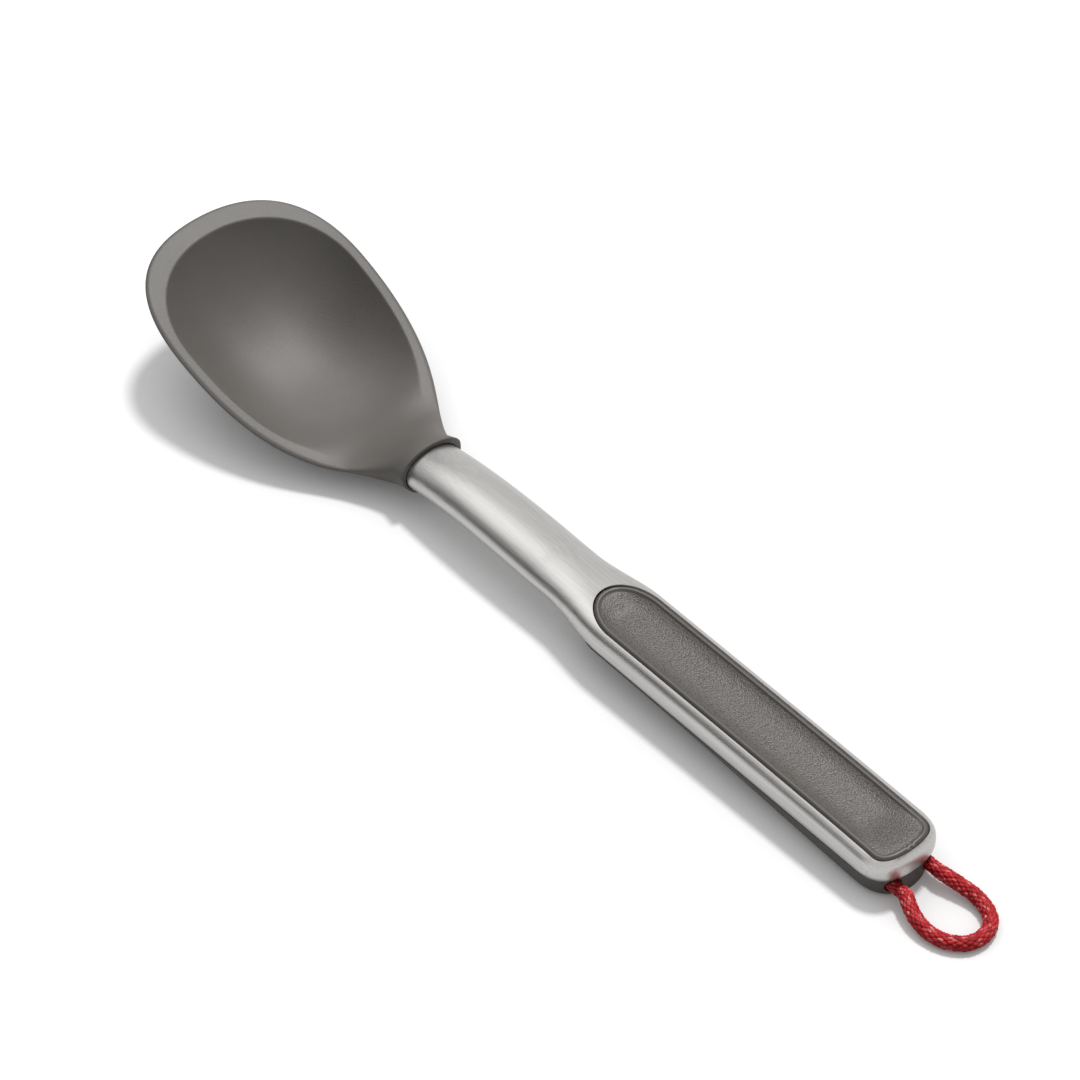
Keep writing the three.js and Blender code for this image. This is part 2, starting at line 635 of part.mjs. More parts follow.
// One closed section of the pad: side walls, raised rim and scooped middle.
function padSection(x) {
  const half = padHalfWidth(0)(x);
  const low = padUnderside(x);
  const rimTop = (y) => Math.max(handleTop(x, y, PAD_SINK), low + 2 * PAD_FLANGE_THICKNESS);
  const inner = Math.max(half - PAD_RIM, half / 2);
  const ahead = smooth(x, PAD_FRONT_X + PAD_RIM, PAD_FRONT_X + PAD_RIM + SCOOP_FRONT);
  const behind = smooth(PAD_TAIL_X - PAD_RIM - x, 0, SCOOP_TAIL);
  const across = spread(1, -1, PAD_ACROSS).map((share) => {
    const y = inner * share;
    return at(y, rimTop(y) - PAD_SCOOP * ahead * behind * (1 - share ** SCOOP_POWER));
  });
  const shoulder = rimTop(half) - PAD_SINK;
  const outline = [at(half, low), at(half, shoulder), ...across, at(-half, shoulder), at(-half, low)];
  return outline.map((p) => new THREE.Vector3(x, p.x, p.y));
}

// One closed section of the flange that holds the pad under the edge of the steel.
function padFlangeSection(x) {
  const low = padUnderside(x);
  const high = low + PAD_FLANGE_THICKNESS;
  const room = handleHalfAt(x, high, STEEL_WALL) - FIT_GAP;
  const half = Math.min(padHalfWidth(0)(x) + PAD_FLANGE, room);
  const outline = [at(half, low), at(half, high), at(-half, high), at(-half, low)];
  return outline.map((p) => new THREE.Vector3(x, p.x, p.y));
}

function makeTopGripPad() {
  const stations = padStations(0);
  const body = solid(loft(stations.map(padSection)));
  const flange = solid(loft(stations.map(padFlangeSection)));
  return geometryOf(body.add(flange));
}

// Underside grip

const undersideWidth = roundedBar(
  UNDERSIDE_FRONT_X,
  UNDERSIDE_TAIL_X,
  undersideHalf,
  UNDERSIDE_FRONT_ROUND,
  TAIL_ROUND,
  TAIL_POWER,
);
const levelX = UNDERSIDE_FRONT_X + UNDERSIDE_LEVEL;
const undersideBottom = (x) => UNDERSIDE_FRONT_LIFT * Math.max(0, (levelX - x) / UNDERSIDE_LEVEL) ** 2;
const HULL_STEPS = 6;
const LAND_SHARE = 0.4; // share of the width that is flat
const HULL_POWER_FRONT = 2; // squareness of the sides, rounder at the front
const HULL_POWER_TAIL = 4;

// One closed section: flat top, sides that round under like a hull, flat bottom.
function hullSection(x, half, top, low) {
  const power = lerp(HULL_POWER_FRONT, HULL_POWER_TAIL, smooth(x, UNDERSIDE_FRONT_X, UNDERSIDE_TAIL_X));
  const land = half * LAND_SHARE;
  const right = spread(0, Math.PI / 2, HULL_STEPS).map((angle) => {
    const out = Math.max(0, Math.cos(angle)) ** (2 / power);
    const down = Math.sin(angle) ** (2 / power);
    return at(land + (half - land) * out, top - (top - low) * down);
  });
  const left = right.map((p) => at(-p.x, p.y)).reverse();
  return [...right, ...left].map((p) => new THREE.Vector3(x, p.x, p.y));
}

// Cord loop

const cordRadius = CORD_DIAMETER / 2;
const cordHalf = CORD_SPACING / 2;
const postX = TAIL_X - LOOP_BACK;
const CORD_SIDES = 8;

// A cord of round section along a smooth line through the given places.
function cordAlong(places, radius, steps) {
  const ring = spread(0, 2 * Math.PI, CORD_SIDES).slice(0, -1);
  const shape = new THREE.Shape(ring.map((a) => at(radius * Math.cos(a), radius * Math.sin(a))));
  const path = new THREE.CatmullRomCurve3(places, false, "centripetal");
  return solid(new THREE.ExtrudeGeometry(shape, { steps, extrudePath: path, bevelEnabled: false }));
}

const place = (x, y, z) => new THREE.Vector3(x, y, z);

// Held stretch of the cord: in at one side, round the carrier's post and out at the other.
function heldCord(radius, end) {
  const turn = spread(Math.PI / 2, (3 * Math.PI) / 2, 8).map((angle) =>
    place(postX + cordHalf * Math.cos(angle), cordHalf * Math.sin(angle), CORD_EXIT_HEIGHT),
  );
  const leg = (side, x) => place(x, side * cordHalf, CORD_EXIT_HEIGHT);
  const middle = (postX + end) / 2;
  return cordAlong([leg(1, end), leg(1, middle), ...turn, leg(-1, middle), leg(-1, end)], radius, 26);
}

// Free loop, from one hinge place round to the other: how far out, to which side and how high.
const loopRoute = [
  [0, -cordHalf, CORD_EXIT_HEIGHT],
  [2, -7, 4],
  [4, -7.9, 3.6],
  [6.5, -8.7, 3.1],
  [9.5, -9.1, 2.6],
  [12.5, -8.9, 2.2],
  [15.5, -8, LOOP_REST_HEIGHT],
  [18, -6.5, LOOP_REST_HEIGHT],
  [20.2, -4.2, LOOP_REST_HEIGHT],
  [21.2, -1.5, LOOP_REST_HEIGHT],
  [21.2, 1.3, LOOP_REST_HEIGHT],
  [20.4, 3.8, LOOP_REST_HEIGHT],
  [18.6, 6, LOOP_REST_HEIGHT],
  [16, 7.4, 2.1],
  [13, 8.1, 2.3],
  [10, 8.1, 2.7],
  [7.2, 7.6, 3.1],
  [4.5, 7, 3.6],
  [2, 6.4, 4],
  [0, cordHalf, CORD_EXIT_HEIGHT],
];

function makeHangingLoop() {
  const places = loopRoute.map(([out, side, height]) => place(HINGE_X + out, side, height));
  const tube = cordAlong(places, cordRadius, 34);
  const ball = (sign) =>
    solid(
      new THREE.SphereGeometry(cordRadius, CORD_SIDES, CORD_SIDES)
        .rotateX(Math.PI / 2)
        .translate(HINGE_X, sign * cordHalf, CORD_EXIT_HEIGHT),
    );
  return geometryOf(tube.add(ball(-1)).add(ball(1)));
}

function makeHeldCord() {
  return geometryOf(heldCord(cordRadius, TAIL_X));
}

// Room for the cord: its own channel, open downwards so that the cord is laid in from below.
function cordRoom() {
  const radius = cordRadius + FIT_GAP;
  const wide = cordHalf + radius;
  const inner = cordHalf - radius;
  const back = TAIL_X + TALL;
  const angles = spread(Math.PI / 2, (3 * Math.PI) / 2, 12);
  const turn = (r) => angles.map((a) => at(postX + r * Math.cos(a), r * Math.sin(a)));
  const outside = [at(back, wide), ...turn(wide), at(back, -wide)];
  const inside = [at(back, -inner), ...turn(inner).reverse(), at(back, inner)];
  return prism([...outside, ...inside], -TALL, CORD_EXIT_HEIGHT + radius);
}

// Notches through the tail of the underside grip, open towards the steel.
function cordNotches() {
  const radius = cordRadius + FIT_GAP;
  const notch = (side) => {
    const middle = side * cordHalf;
    const round = spread(Math.PI, 2 * Math.PI, 10).map((a) =>
      at(middle + radius * Math.cos(a), CORD_EXIT_HEIGHT + radius * Math.sin(a)),
    );
    const shape = new THREE.Shape([...round, at(middle + radius, TALL), at(middle - radius, TALL)]);
    const bar = new THREE.ExtrudeGeometry(shape, { depth: TALL, bevelEnabled: false });
    return solid(bar.rotateX(Math.PI / 2).rotateZ(Math.PI / 2).translate(postX, 0, 0));
  };
  return notch(1).add(notch(-1));
}

// Carrier

// Inside of the underside grip: the belly of the carrier with some slack round it.
function bellyBlock(slack) {
  const front = UNDERSIDE_FRONT_X + CARRIER_END_GAP - slack;
  const tail = UNDERSIDE_TAIL_X - CARRIER_END_GAP + slack;
  const half = undersideHalf - UNDERSIDE_WALL - FIT_GAP + slack;
  const width = roundedBar(front, tail, half, UNDERSIDE_FRONT_ROUND, TAIL_ROUND, TAIL_POWER);
  const floor = UNDERSIDE_FLOOR + FIT_GAP - slack;
  const sections = barStations(front, tail, UNDERSIDE_FRONT_ROUND, TAIL_ROUND, 4, 5).map((x) =>
    hullSection(x, width(x), edgeHeight(x) + STEEL_WALL, undersideBottom(x) + floor),
  );
  return solid(loft(sections));
}

// Everything between two heights that follow the handle along X.
function band(low, high, front, back) {
  const run = spread(front, back, 10);
  return crossBlock([...run.map((x) => at(x, low(x))), ...run.map((x) => at(x, high(x))).reverse()], TALL);
}

function makeUndersideGrip() {
  const ends = [UNDERSIDE_FRONT_X, UNDERSIDE_TAIL_X];
  const stations = barStations(...ends, UNDERSIDE_FRONT_ROUND, TAIL_ROUND, 8, 7);
  const sections = stations.map((x) =>
    hullSection(x, undersideWidth(x), edgeHeight(x) - FIT_GAP, undersideBottom(x)),
  );
  return geometryOf(solid(loft(sections)).subtract(bellyBlock(FIT_GAP)).subtract(cordNotches()));
}

function makeCarrier() {
  const front = UNDERSIDE_FRONT_X + CARRIER_END_GAP;
  const back = PAD_TAIL_X - CARRIER_END_GAP / 2;
  const upper = handleBody(STEEL_WALL + FIT_GAP, SHOULDER_X).intersect(
    band(edgeHeight, (x) => padUnderside(x) - FIT_GAP, front, back),
  );
  const lower = bellyBlock(0).intersect(band(() => 0, (x) => edgeHeight(x) + FIT_GAP, front, back));
  return geometryOf(upper.add(lower).subtract(cordRoom()));
}

const finishes = {
  silicone: { color: 0x5b5753, roughness: 0.62, metalness: 0 },
  nylon: { color: 0x2c2a29, roughness: 0.55, metalness: 0 },
  steel: { color: 0xc9c7c3, roughness: 0.28, metalness: 1 },
  softGrip: { color: 0x54514e, roughness: 0.72, metalness: 0 },
  cord: { color: 0xb01e28, roughness: 0.85, metalness: 0 },
};

const pieces = {
  silicone_head: [makeSiliconeHead, finishes.silicone],
  head_core: [makeHeadCore, finishes.nylon],
  steel_handle: [makeSteelHandle, finishes.steel],
  handle_carrier: [makeCarrier, finishes.nylon],
  top_grip_pad: [makeTopGripPad, finishes.softGrip],
  underside_grip: [makeUndersideGrip, finishes.softGrip],
  held_cord: [makeHeldCord, finishes.cord],
  hanging_loop: [makeHangingLoop, finishes.cord],
};

const spoon = new THREE.Group();
for (const [name, [make, finish]] of Object.entries(pieces)) {
  const mesh = new THREE.Mesh(make(), new THREE.MeshStandardMaterial(finish));
  mesh.name = name;
  spoon.add(mesh);
}

export default spoon;
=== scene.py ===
import math

import bpy
import numpy as np
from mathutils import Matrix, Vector


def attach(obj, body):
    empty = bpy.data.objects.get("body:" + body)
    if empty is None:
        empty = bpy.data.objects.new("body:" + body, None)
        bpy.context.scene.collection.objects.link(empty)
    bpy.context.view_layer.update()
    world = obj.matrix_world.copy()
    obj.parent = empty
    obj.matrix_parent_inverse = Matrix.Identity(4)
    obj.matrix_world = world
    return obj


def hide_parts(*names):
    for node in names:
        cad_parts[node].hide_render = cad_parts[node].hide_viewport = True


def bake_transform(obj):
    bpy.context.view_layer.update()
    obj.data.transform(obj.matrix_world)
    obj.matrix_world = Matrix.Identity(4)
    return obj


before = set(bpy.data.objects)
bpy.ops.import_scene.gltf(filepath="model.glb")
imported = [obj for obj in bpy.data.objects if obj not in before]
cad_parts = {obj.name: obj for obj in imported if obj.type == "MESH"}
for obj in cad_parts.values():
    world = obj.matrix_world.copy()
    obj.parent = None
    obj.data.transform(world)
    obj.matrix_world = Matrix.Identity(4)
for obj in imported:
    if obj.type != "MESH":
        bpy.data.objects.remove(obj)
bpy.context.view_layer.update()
bpy.ops.object.select_all(action="DESELECT")

# Steel handle
# Thin stainless tube, pressed oval at the neck and opened out below into the grip, with a long window in its
# top for the pad. It is brushed lengthwise, and its cut edges are broken to a small round.

tail_x = 0.146
tail_round = 0.0108
tail_roll_length = 0.004
tail_power = 2.6
collar_x = -0.043
tube_front_x = -0.048
shoulder_x = 0.008
flare_start_x = 0.015
flare_end_x = 0.038
collar_half_width = 0.0093
collar_half_height = 0.0055
shoulder_half_width = 0.0098
shoulder_half_height = 0.0052
grip_front_x = 0.025
grip_half = 0.0121
edge_front_height = 0.0093
edge_tail_height = 0.0069
side_height = 0.0022
oval_power = 2
crown_power = 3.4
side_power = 2.4
steel_wall = 0.0012
edge_break = 0.00055
fit_gap = 0.0003
joining_reach = 0.000002
tiny = 0.00001
brushed_dark = (0.42, 0.414, 0.402)
brushed_pale = (0.56, 0.553, 0.538)


def mix(a, b, share):
    """Between a and b."""
    return a + (b - a) * share


def ease(x, start, end):
    """From 0 at start to 1 at end, level at both."""
    share = np.clip((np.asarray(x, float) - start) / (end - start), 0, 1)
    return share * share * (3 - 2 * share)


def curve_points(a, b, c, d, count=161):
    """Places along one cubic curve."""
    t = np.linspace(0, 1, count)[:, None]
    a, b, c, d = np.array(a), np.array(b), np.array(c), np.array(d)
    return a * (1 - t) ** 3 + 3 * b * t * (1 - t) ** 2 + 3 * c * t**2 * (1 - t) + d * t**3


def rail(*curves):
    """Cubic curves drawn as (x, value), read as one value along X."""
    line = np.concatenate([curve_points(*curve) for curve in curves])
    return lambda x: np.interp(x, line[:, 0], line[:, 1])


def rounded_bar(front, back, half, front_round, back_round):
    """Half width along X of a bar with an elliptic front and a squarer, rounded tail."""

    def width(x):
        ahead = np.clip((front + front_round - x) / front_round, 0, 1)
        behind = np.clip((x - back + back_round) / back_round, 0, 1)
        return half * np.minimum(np.sqrt(1 - ahead**2), (1 - behind**tail_power) ** (1 / tail_power))

    return width


def crowded(near, far, count):
    """Stations from near to far that stand closer together towards near."""
    return near + (far - near) * (1 - np.cos(np.linspace(0, math.pi / 2, count)))


def tail_stations(back, back_round, count):
    """Stations round a squarer, rounded tail, one step apart along its outline."""
    turn = np.linspace(0, math.pi / 2, count)
    return back - back_round + back_round * np.sin(turn) ** (2 / tail_power)


def in_order(*runs):
    """All stations once each, in order, without those that almost meet the next one."""
    stations = np.unique(np.concatenate(runs).round(7))
    return stations[np.concatenate([np.diff(stations) > 2 * joining_reach, [True]])]


def half_sheet(name, rows):
    """A sheet through rows of places on the +Y side."""
    rows = np.array(rows, float)
    long, wide = rows.shape[:2]
    bpy.ops.mesh.primitive_grid_add(x_subdivisions=wide - 1, y_subdivisions=long - 1, size=1)
    piece = bpy.context.object
    piece.name = name
    piece.data.name = name
    piece.data.vertices.foreach_set("co", rows.reshape(-1))
    return piece


def mirror_across(piece):
    """The other half of a piece, joined along the middle, with all faces turned outwards."""
    mirror = piece.modifiers.new("other_half", "MIRROR")
    mirror.use_axis = (False, True, False)
    mirror.merge_threshold = joining_reach
    bpy.ops.object.modifier_apply(modifier=mirror.name)
    bpy.ops.object.mode_set(mode="EDIT")
    bpy.ops.mesh.select_all(action="SELECT")
    bpy.ops.mesh.remove_doubles(threshold=joining_reach)
    bpy.ops.mesh.dissolve_degenerate(threshold=joining_reach / 2)
    bpy.ops.mesh.normals_make_consistent(inside=False)
    bpy.ops.object.mode_set(mode="OBJECT")


def neck_half_width(x):
    return mix(collar_half_width, shoulder_half_width, ease(x, collar_x, shoulder_x))


def neck_half_height(x):
    return mix(collar_half_height, shoulder_half_height, ease(x, collar_x, shoulder_x))


neck_axis = rail([(-0.058, 0.00801), (-0.0355, 0.0134), (-0.0226, 0.0144), (shoulder_x, 0.0129)])
crown = rail([(shoulder_x, 0.0181), (0.020, 0.0162), (0.095, 0.0173), (tail_x, 0.0142)])


def grip_share(x):
    """How far the tube has turned from the neck into the grip."""
    return ease(x, flare_start_x, flare_end_x)


def steel_edge(x):
    """Height of the steel's lower edge along the grip."""
    return mix(edge_front_height, edge_tail_height, (x - grip_front_x) / (tail_x - grip_front_x))


def widest_height(x):
    """Height of the line along which the handle is widest."""
    return mix(neck_axis(x), steel_edge(x) + side_height, grip_share(x))


def past_start(x, start, length):
    """From 0 at a start to 1 one length further on."""
    return np.clip((x - start) / length, 0, 1)


def tail_roll(x):
    """Share of the crown's height that is left where the tail rolls down."""
    roll = past_start(x, tail_x - tail_roll_length, tail_roll_length)
    return (1 - roll**tail_power) ** (1 / tail_power)


def handle_half(x):
    """Half width of the handle, which closes round the tail."""
    behind = past_start(x, tail_x - tail_round, tail_round)
    along = mix(neck_half_width(x), grip_half, grip_share(x))
    return along * (1 - behind**tail_power) ** (1 / tail_power)


def handle_rise(x):
    """Height of the handle's top above its widest line."""
    above = np.where(x < shoulder_x, neck_half_height(x), crown(x) - widest_height(x))
    return above * tail_roll(x)


def handle_top(x, y):
    """Height of the steel's upper surface over a place in plan."""
    power = mix(oval_power, crown_power, grip_share(x))
    across = np.clip(np.abs(y) / np.maximum(handle_half(x), tiny), 0, 1)
    return widest_height(x) + handle_rise(x) * (1 - across**power) ** (1 / power)


pad_front_x = 0.0275
pad_tail_x = 0.1439
pad_half_width = 0.00935
pad_front_round = 0.0125
pad_tail_round = 0.006
pad_half = rounded_bar(pad_front_x, pad_tail_x, pad_half_width, pad_front_round, pad_tail_round)
window_half = rounded_bar(
    pad_front_x - fit_gap,
    pad_tail_x + fit_gap,
    pad_half_width + fit_gap,
    pad_front_round,
    pad_tail_round,
)
belly_front_x = grip_front_x - fit_gap
belly_front_round = 0.011
belly_half = 0.0124
steel_columns = 44
section_steps = 1601
crown_steps = 300
side_steps = 40


def belly_opening(x):
    """Half width of the space cut from below for the underside grip."""
    ahead = np.clip((belly_front_x + belly_front_round - x) / belly_front_round, 0, 1)
    return np.where(x < belly_front_x, 0.0, belly_half * np.sqrt(1 - ahead**2))


def lengths_along(line):
    """Distance of each place on a line from its start, measured along it."""
    return np.concatenate([[0], np.cumsum(np.linalg.norm(np.diff(line, axis=0), axis=1))])


def read_along(marks, along, line):
    """Places on a line at given distances along it."""
    return np.stack([np.interp(marks, along, column) for column in line.T], axis=1)


def steel_rib(x):
    """One half section of the steel, from the window's edge or the middle down to the lower edge."""
    angle = np.linspace(math.pi / 2, -math.pi / 2, section_steps)
    upper = angle >= 0
    above = mix(oval_power, crown_power, grip_share(x))
    power = np.where(upper, above, mix(oval_power, side_power, grip_share(x)))
    y = handle_half(x) * np.abs(np.cos(angle)) ** (2 / power)
    reach = np.where(upper, handle_rise(x), -neck_half_height(x))
    z = widest_height(x) + reach * np.abs(np.sin(angle)) ** (2 / power)
    section = np.stack([np.full(len(y), x), y, z], axis=1)
    along = lengths_along(section)
    side = int(upper.sum()) - 1
    start = np.interp(window_half(x), y[: side + 1], along[: side + 1])
    at_opening = np.interp(belly_opening(x), y[side:][::-1], along[side:][::-1])
    at_edge = np.interp(-steel_edge(x), -z[side:], along[side:])
    end = at_opening if x < belly_front_x else max(at_edge, at_opening)
    return read_along(np.linspace(start, end, steel_columns), along, section)


def along_outline(half_width, stations, count):
    """Places in plan at even steps along an outline given by its half width."""
    line = np.stack([stations, half_width(stations)], axis=1)
    along = lengths_along(line)
    return read_along(np.linspace(0, along[-1], count), along, line)


def tail_rib(inner, outer):
    """One section of the steel round the tail, from the window's edge out and down to the lower edge."""
    share = np.sin(np.linspace(0, math.pi / 2, crown_steps))[:, None]
    plan = inner + (outer - inner) * share
    top = handle_top(plan[:, 0], plan[:, 1])
    top[-1] = widest_height(outer[0])
    inwards = (inner - outer) / np.linalg.norm(inner - outer)
    drop = np.linspace(0, widest_height(outer[0]) - steel_edge(outer[0]), side_steps)[1:]
    angle = np.arcsin((drop / neck_half_height(outer[0])) ** (side_power / 2))
    tuck = grip_half * (1 - np.cos(angle) ** (2 / side_power))
    side = outer + inwards * tuck[:, None]
    places = np.concatenate([np.column_stack([plan, top]), np.column_stack([side, top[-1] - drop])])
    along = lengths_along(places)
    return read_along(np.linspace(0, along[-1], steel_columns), along, places)


tail_ribs = 60
outline_steps = 400
steel_stations = in_order(
    np.linspace(tube_front_x, belly_front_x, 56),
    crowded(belly_front_x, belly_front_x + belly_front_round, 20),
    crowded(pad_front_x - fit_gap, pad_front_x + pad_front_round, 36),
    np.linspace(pad_front_x + pad_front_round, tail_x - tail_round, 36),
)
steel_ribs = [steel_rib(x) for x in steel_stations]
outer_line = along_outline(handle_half, tail_stations(tail_x, tail_round, outline_steps), tail_ribs)
window_tail_x = pad_tail_x + fit_gap
window_run = np.concatenate(
    [
        np.linspace(tail_x - tail_round, window_tail_x - pad_tail_round, 100, endpoint=False),
        tail_stations(window_tail_x, pad_tail_round, outline_steps),
    ]
)
inner_line = along_outline(window_half, window_run, tail_ribs)
steel_ribs += [tail_rib(inner, outer) for inner, outer in zip(inner_line[1:], outer_line[1:])]
steel_ribs[-1][:, 1] = 0
steel = half_sheet("brushed_steel_handle", steel_ribs)
mirror_across(steel)
sheet = steel.modifiers.new("sheet_thickness", "SOLIDIFY")
sheet.thickness = steel_wall
sheet.offset = -1
bpy.ops.object.modifier_apply(modifier=sheet.name)
edges = steel.modifiers.new("broken_edges", "BEVEL")
edges.width = edge_break
edges.segments = 3
edges.limit_method = "ANGLE"
edges.angle_limit = math.radians(50)
bpy.ops.object.modifier_apply(modifier=edges.name)
bpy.ops.object.shade_smooth_by_angle(angle=math.radians(35))


def new_material(name):
    """A material with its shader, and the tree to add nodes to."""
    material = bpy.data.materials.new(name)
    material.use_nodes = True
    tree = material.node_tree
    return material, tree, tree.nodes["Principled BSDF"]


surface_grain = bpy.data.node_groups.new("surface_grain", "ShaderNodeTree")
surface_grain.interface.new_socket("Stretch", in_out="INPUT", socket_type="NodeSocketVector")
surface_grain.interface.new_socket("Detail", in_out="INPUT", socket_type="NodeSocketFloat")
surface_grain.interface.new_socket("Grain", in_out="OUTPUT", socket_type="NodeSocketFloat")
group_in = surface_grain.nodes.new("NodeGroupInput")
group_out = surface_grain.nodes.new("NodeGroupOutput")
place = surface_grain.nodes.new("ShaderNodeTexCoord")
stretched = surface_grain.nodes.new("ShaderNodeMapping")
noise = surface_grain.nodes.new("ShaderNodeTexNoise")
noise.inputs["Scale"].default_value = 1
surface_grain.links.new(place.outputs["Object"], stretched.inputs["Vector"])
surface_grain.links.new(group_in.outputs["Stretch"], stretched.inputs["Scale"])
surface_grain.links.new(stretched.outputs["Vector"], noise.inputs["Vector"])
surface_grain.links.new(group_in.outputs["Detail"], noise.inputs["Detail"])
surface_grain.links.new(noise.outputs["Fac"], group_out.inputs["Grain"])


def grained(tree, stretch, detail):
    """Grain fixed to the object, with so many waves per metre along each axis."""
    grain = tree.nodes.new("ShaderNodeGroup")
    grain.node_tree = surface_grain
    grain.inputs["Stretch"].default_value = stretch
    grain.inputs["Detail"].default_value = detail
    return grain.outputs["Grain"]


def colour_steps(tree, factor, *steps):
    """A ramp of (place, colour) steps read by a factor."""
    ramp = tree.nodes.new("ShaderNodeValToRGB")
    while len(ramp.color_ramp.elements) < len(steps):
        ramp.color_ramp.elements.new(0.5)
    for element, (place, colour) in zip(ramp.color_ramp.elements, steps):
        element.position = place
        element.color = (*colour, 1)
    tree.links.new(factor, ramp.inputs["Fac"])
    return ramp.outputs["Color"]


def value_range(tree, factor, low, high):
    """A factor from 0 to 1 spread from low to high."""
    spread = tree.nodes.new("ShaderNodeMapRange")
    spread.inputs["To Min"].default_value = low
    spread.inputs["To Max"].default_value = high
    tree.links.new(factor, spread.inputs["Value"])
    return spread.outputs["Result"]


def bumped(tree, height, strength, distance):
    """A normal raised by a height."""
    bump = tree.nodes.new("ShaderNodeBump")
    bump.inputs["Strength"].default_value = strength
    bump.inputs["Distance"].default_value = distance
    tree.links.new(height, bump.inputs["Height"])
    return bump.outputs["Normal"]


steel_look, tree, shader = new_material("brushed_steel")
brushing = grained(tree, (30, 3400, 3400), 5)
tree.links.new(
    colour_steps(tree, brushing, (0.3, brushed_dark), (0.7, brushed_pale)),
    shader.inputs["Base Color"],
)
tree.links.new(value_range(tree, brushing, 0.3, 0.46), shader.inputs["Roughness"])
tree.links.new(bumped(tree, brushing, 0.2, 0.00002), shader.inputs["Normal"])
shader.inputs["Metallic"].default_value = 1
steel.data.materials.append(steel_look)
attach(steel, "spoon")
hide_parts("steel_handle")

# Silicone head
# One soft moulding over a stiff core: an egg-shaped bowl with a broad lip at the tip and a narrow one along
# the sides, and a ramp that closes into a collar, pulled over the end of the tube. Matte, with a fine grain.

tip_x = -0.146
widest_x = -0.111
hollow_front_x = -0.1392
collar_start_x = -0.067
collar_full_x = -0.048
bowl_half = 0.0332
hollow_widest = 0.0299
throat_half = 0.0106
lip_edge_curve = [(tip_x, 0), (tip_x, 0.021), (-0.1344, bowl_half), (widest_x, bowl_half)]
hollow_edge_curve = [
    (hollow_front_x, 0),
    (hollow_front_x, 0.0177),
    (-0.1276, hollow_widest),
    (widest_x, hollow_widest),
]
lip_half = rail(
    lip_edge_curve,
    [(widest_x, bowl_half), (-0.073, bowl_half), (-0.064, 0.0178), (collar_full_x, throat_half)],
    [(collar_full_x, throat_half), (-0.04633, 0.01053), (-0.04467, 0.0106), (collar_x, 0.0108)],
)
hollow_half = rail(
    hollow_edge_curve,
    [(widest_x, hollow_widest), (-0.0763, hollow_widest), (-0.069, 0.0178), (-0.061, throat_half)],
)
lip_line = rail([(tip_x, 0.0342), (-0.104, 0.026), (-0.066, -0.001), (collar_x, 0.0112)])
keel_height = rail(
    [(tip_x, 0.033), (-0.138, 0.0172), (-0.122, 0), (-0.1, 0)],
    [(-0.1, 0), (-0.078, 0), (-0.054, 0.00196), (collar_x, 0.0043)],
)
lip_round = 0.001
lip_thickness = 0.0012
lip_columns = 12
wall_columns = 120
collar_lift = 0.002
collar_lean = math.tan(math.radians(12))
hollow_fullness = 2.6
silicone_dark = (0.078, 0.07, 0.062)
silicone_pale = (0.087, 0.078, 0.0695)


def collar_share(x):
    """How far the bowl's section has turned into the collar's oval."""
    return ease(x, collar_start_x, collar_full_x)


def lip_height(x):
    return lip_line(x) + collar_lift * collar_share(x)


deepest_x = -0.0967
deepest_height = 0.0036
hollow_front_height = float(lip_height(hollow_front_x))
floor_height = rail(
    [
        (hollow_front_x, hollow_front_height),
        (-0.1332, hollow_front_height - 0.015),
        (-0.1187, deepest_height),
        (deepest_x, deepest_height),
    ],
    [(deepest_x, deepest_height), (-0.0627, deepest_height), (-0.053, 0.0157), (collar_x, 0.0181)],
)


def head_line(back, lip, hollow_side):
    """A rib's three runs as one line: along the back, round the lip and down into the hollow."""
    line = np.concatenate([back, lip, hollow_side])
    return line, len(back), len(back) + len(lip)


ramp_start_x = -0.072
ramp_full_x = -0.056
fullness_fade = (-0.085, -0.067)


def head_section(x):
    """A rib across the spoon."""
    half = lip_half(x)
    edge = lip_height(x)
    oval = collar_share(x)
    hollow = mix(min(hollow_half(x), half), half, ease(x, ramp_start_x, ramp_full_x))
    side = lip_thickness * (1 - oval)
    power = mix(2, 1, oval)
    angle = np.linspace(math.pi / 2, 0, wall_columns)
    low = edge - side - keel_height(x)
    deep = edge - floor_height(x)
    back = np.stack([half * np.cos(angle), edge - side - low * np.sin(angle) ** power], axis=1)
    full = mix(hollow_fullness, 2, ease(x, *fullness_fade))
    inwards = np.cos(angle[::-1])
    dip = deep * np.clip(1 - inwards**full, 0, 1) ** (power / 2)
    hollow_side = np.stack([hollow * inwards, edge - dip], axis=1)
    inner = max(half - lip_round * (1 - oval), hollow)
    lip = np.stack([np.linspace(inner, hollow, lip_columns), np.full(lip_columns, edge)], axis=1)
    brow = [(half, edge - side / 2)]
    runs = []
    for run in (back, np.concatenate([brow, lip]), hollow_side):
        lean = -collar_lean * oval * (run[:, 1] - edge)
        runs.append(np.stack([x + lean, run[:, 0], run[:, 1]], axis=1))
    return head_line(*runs)


def edge_reach(curve):
    """Distance of an edge from the upright line through the widest place, read by the angle from the tip."""
    line = curve_points(*curve, count=801)
    out = widest_x - line[:, 0]
    angle = np.arctan2(line[:, 1], out)
    return lambda turn: np.interp(turn, angle, np.hypot(out, line[:, 1]))


lip_reach = edge_reach(lip_edge_curve)
hollow_reach = edge_reach(hollow_edge_curve)


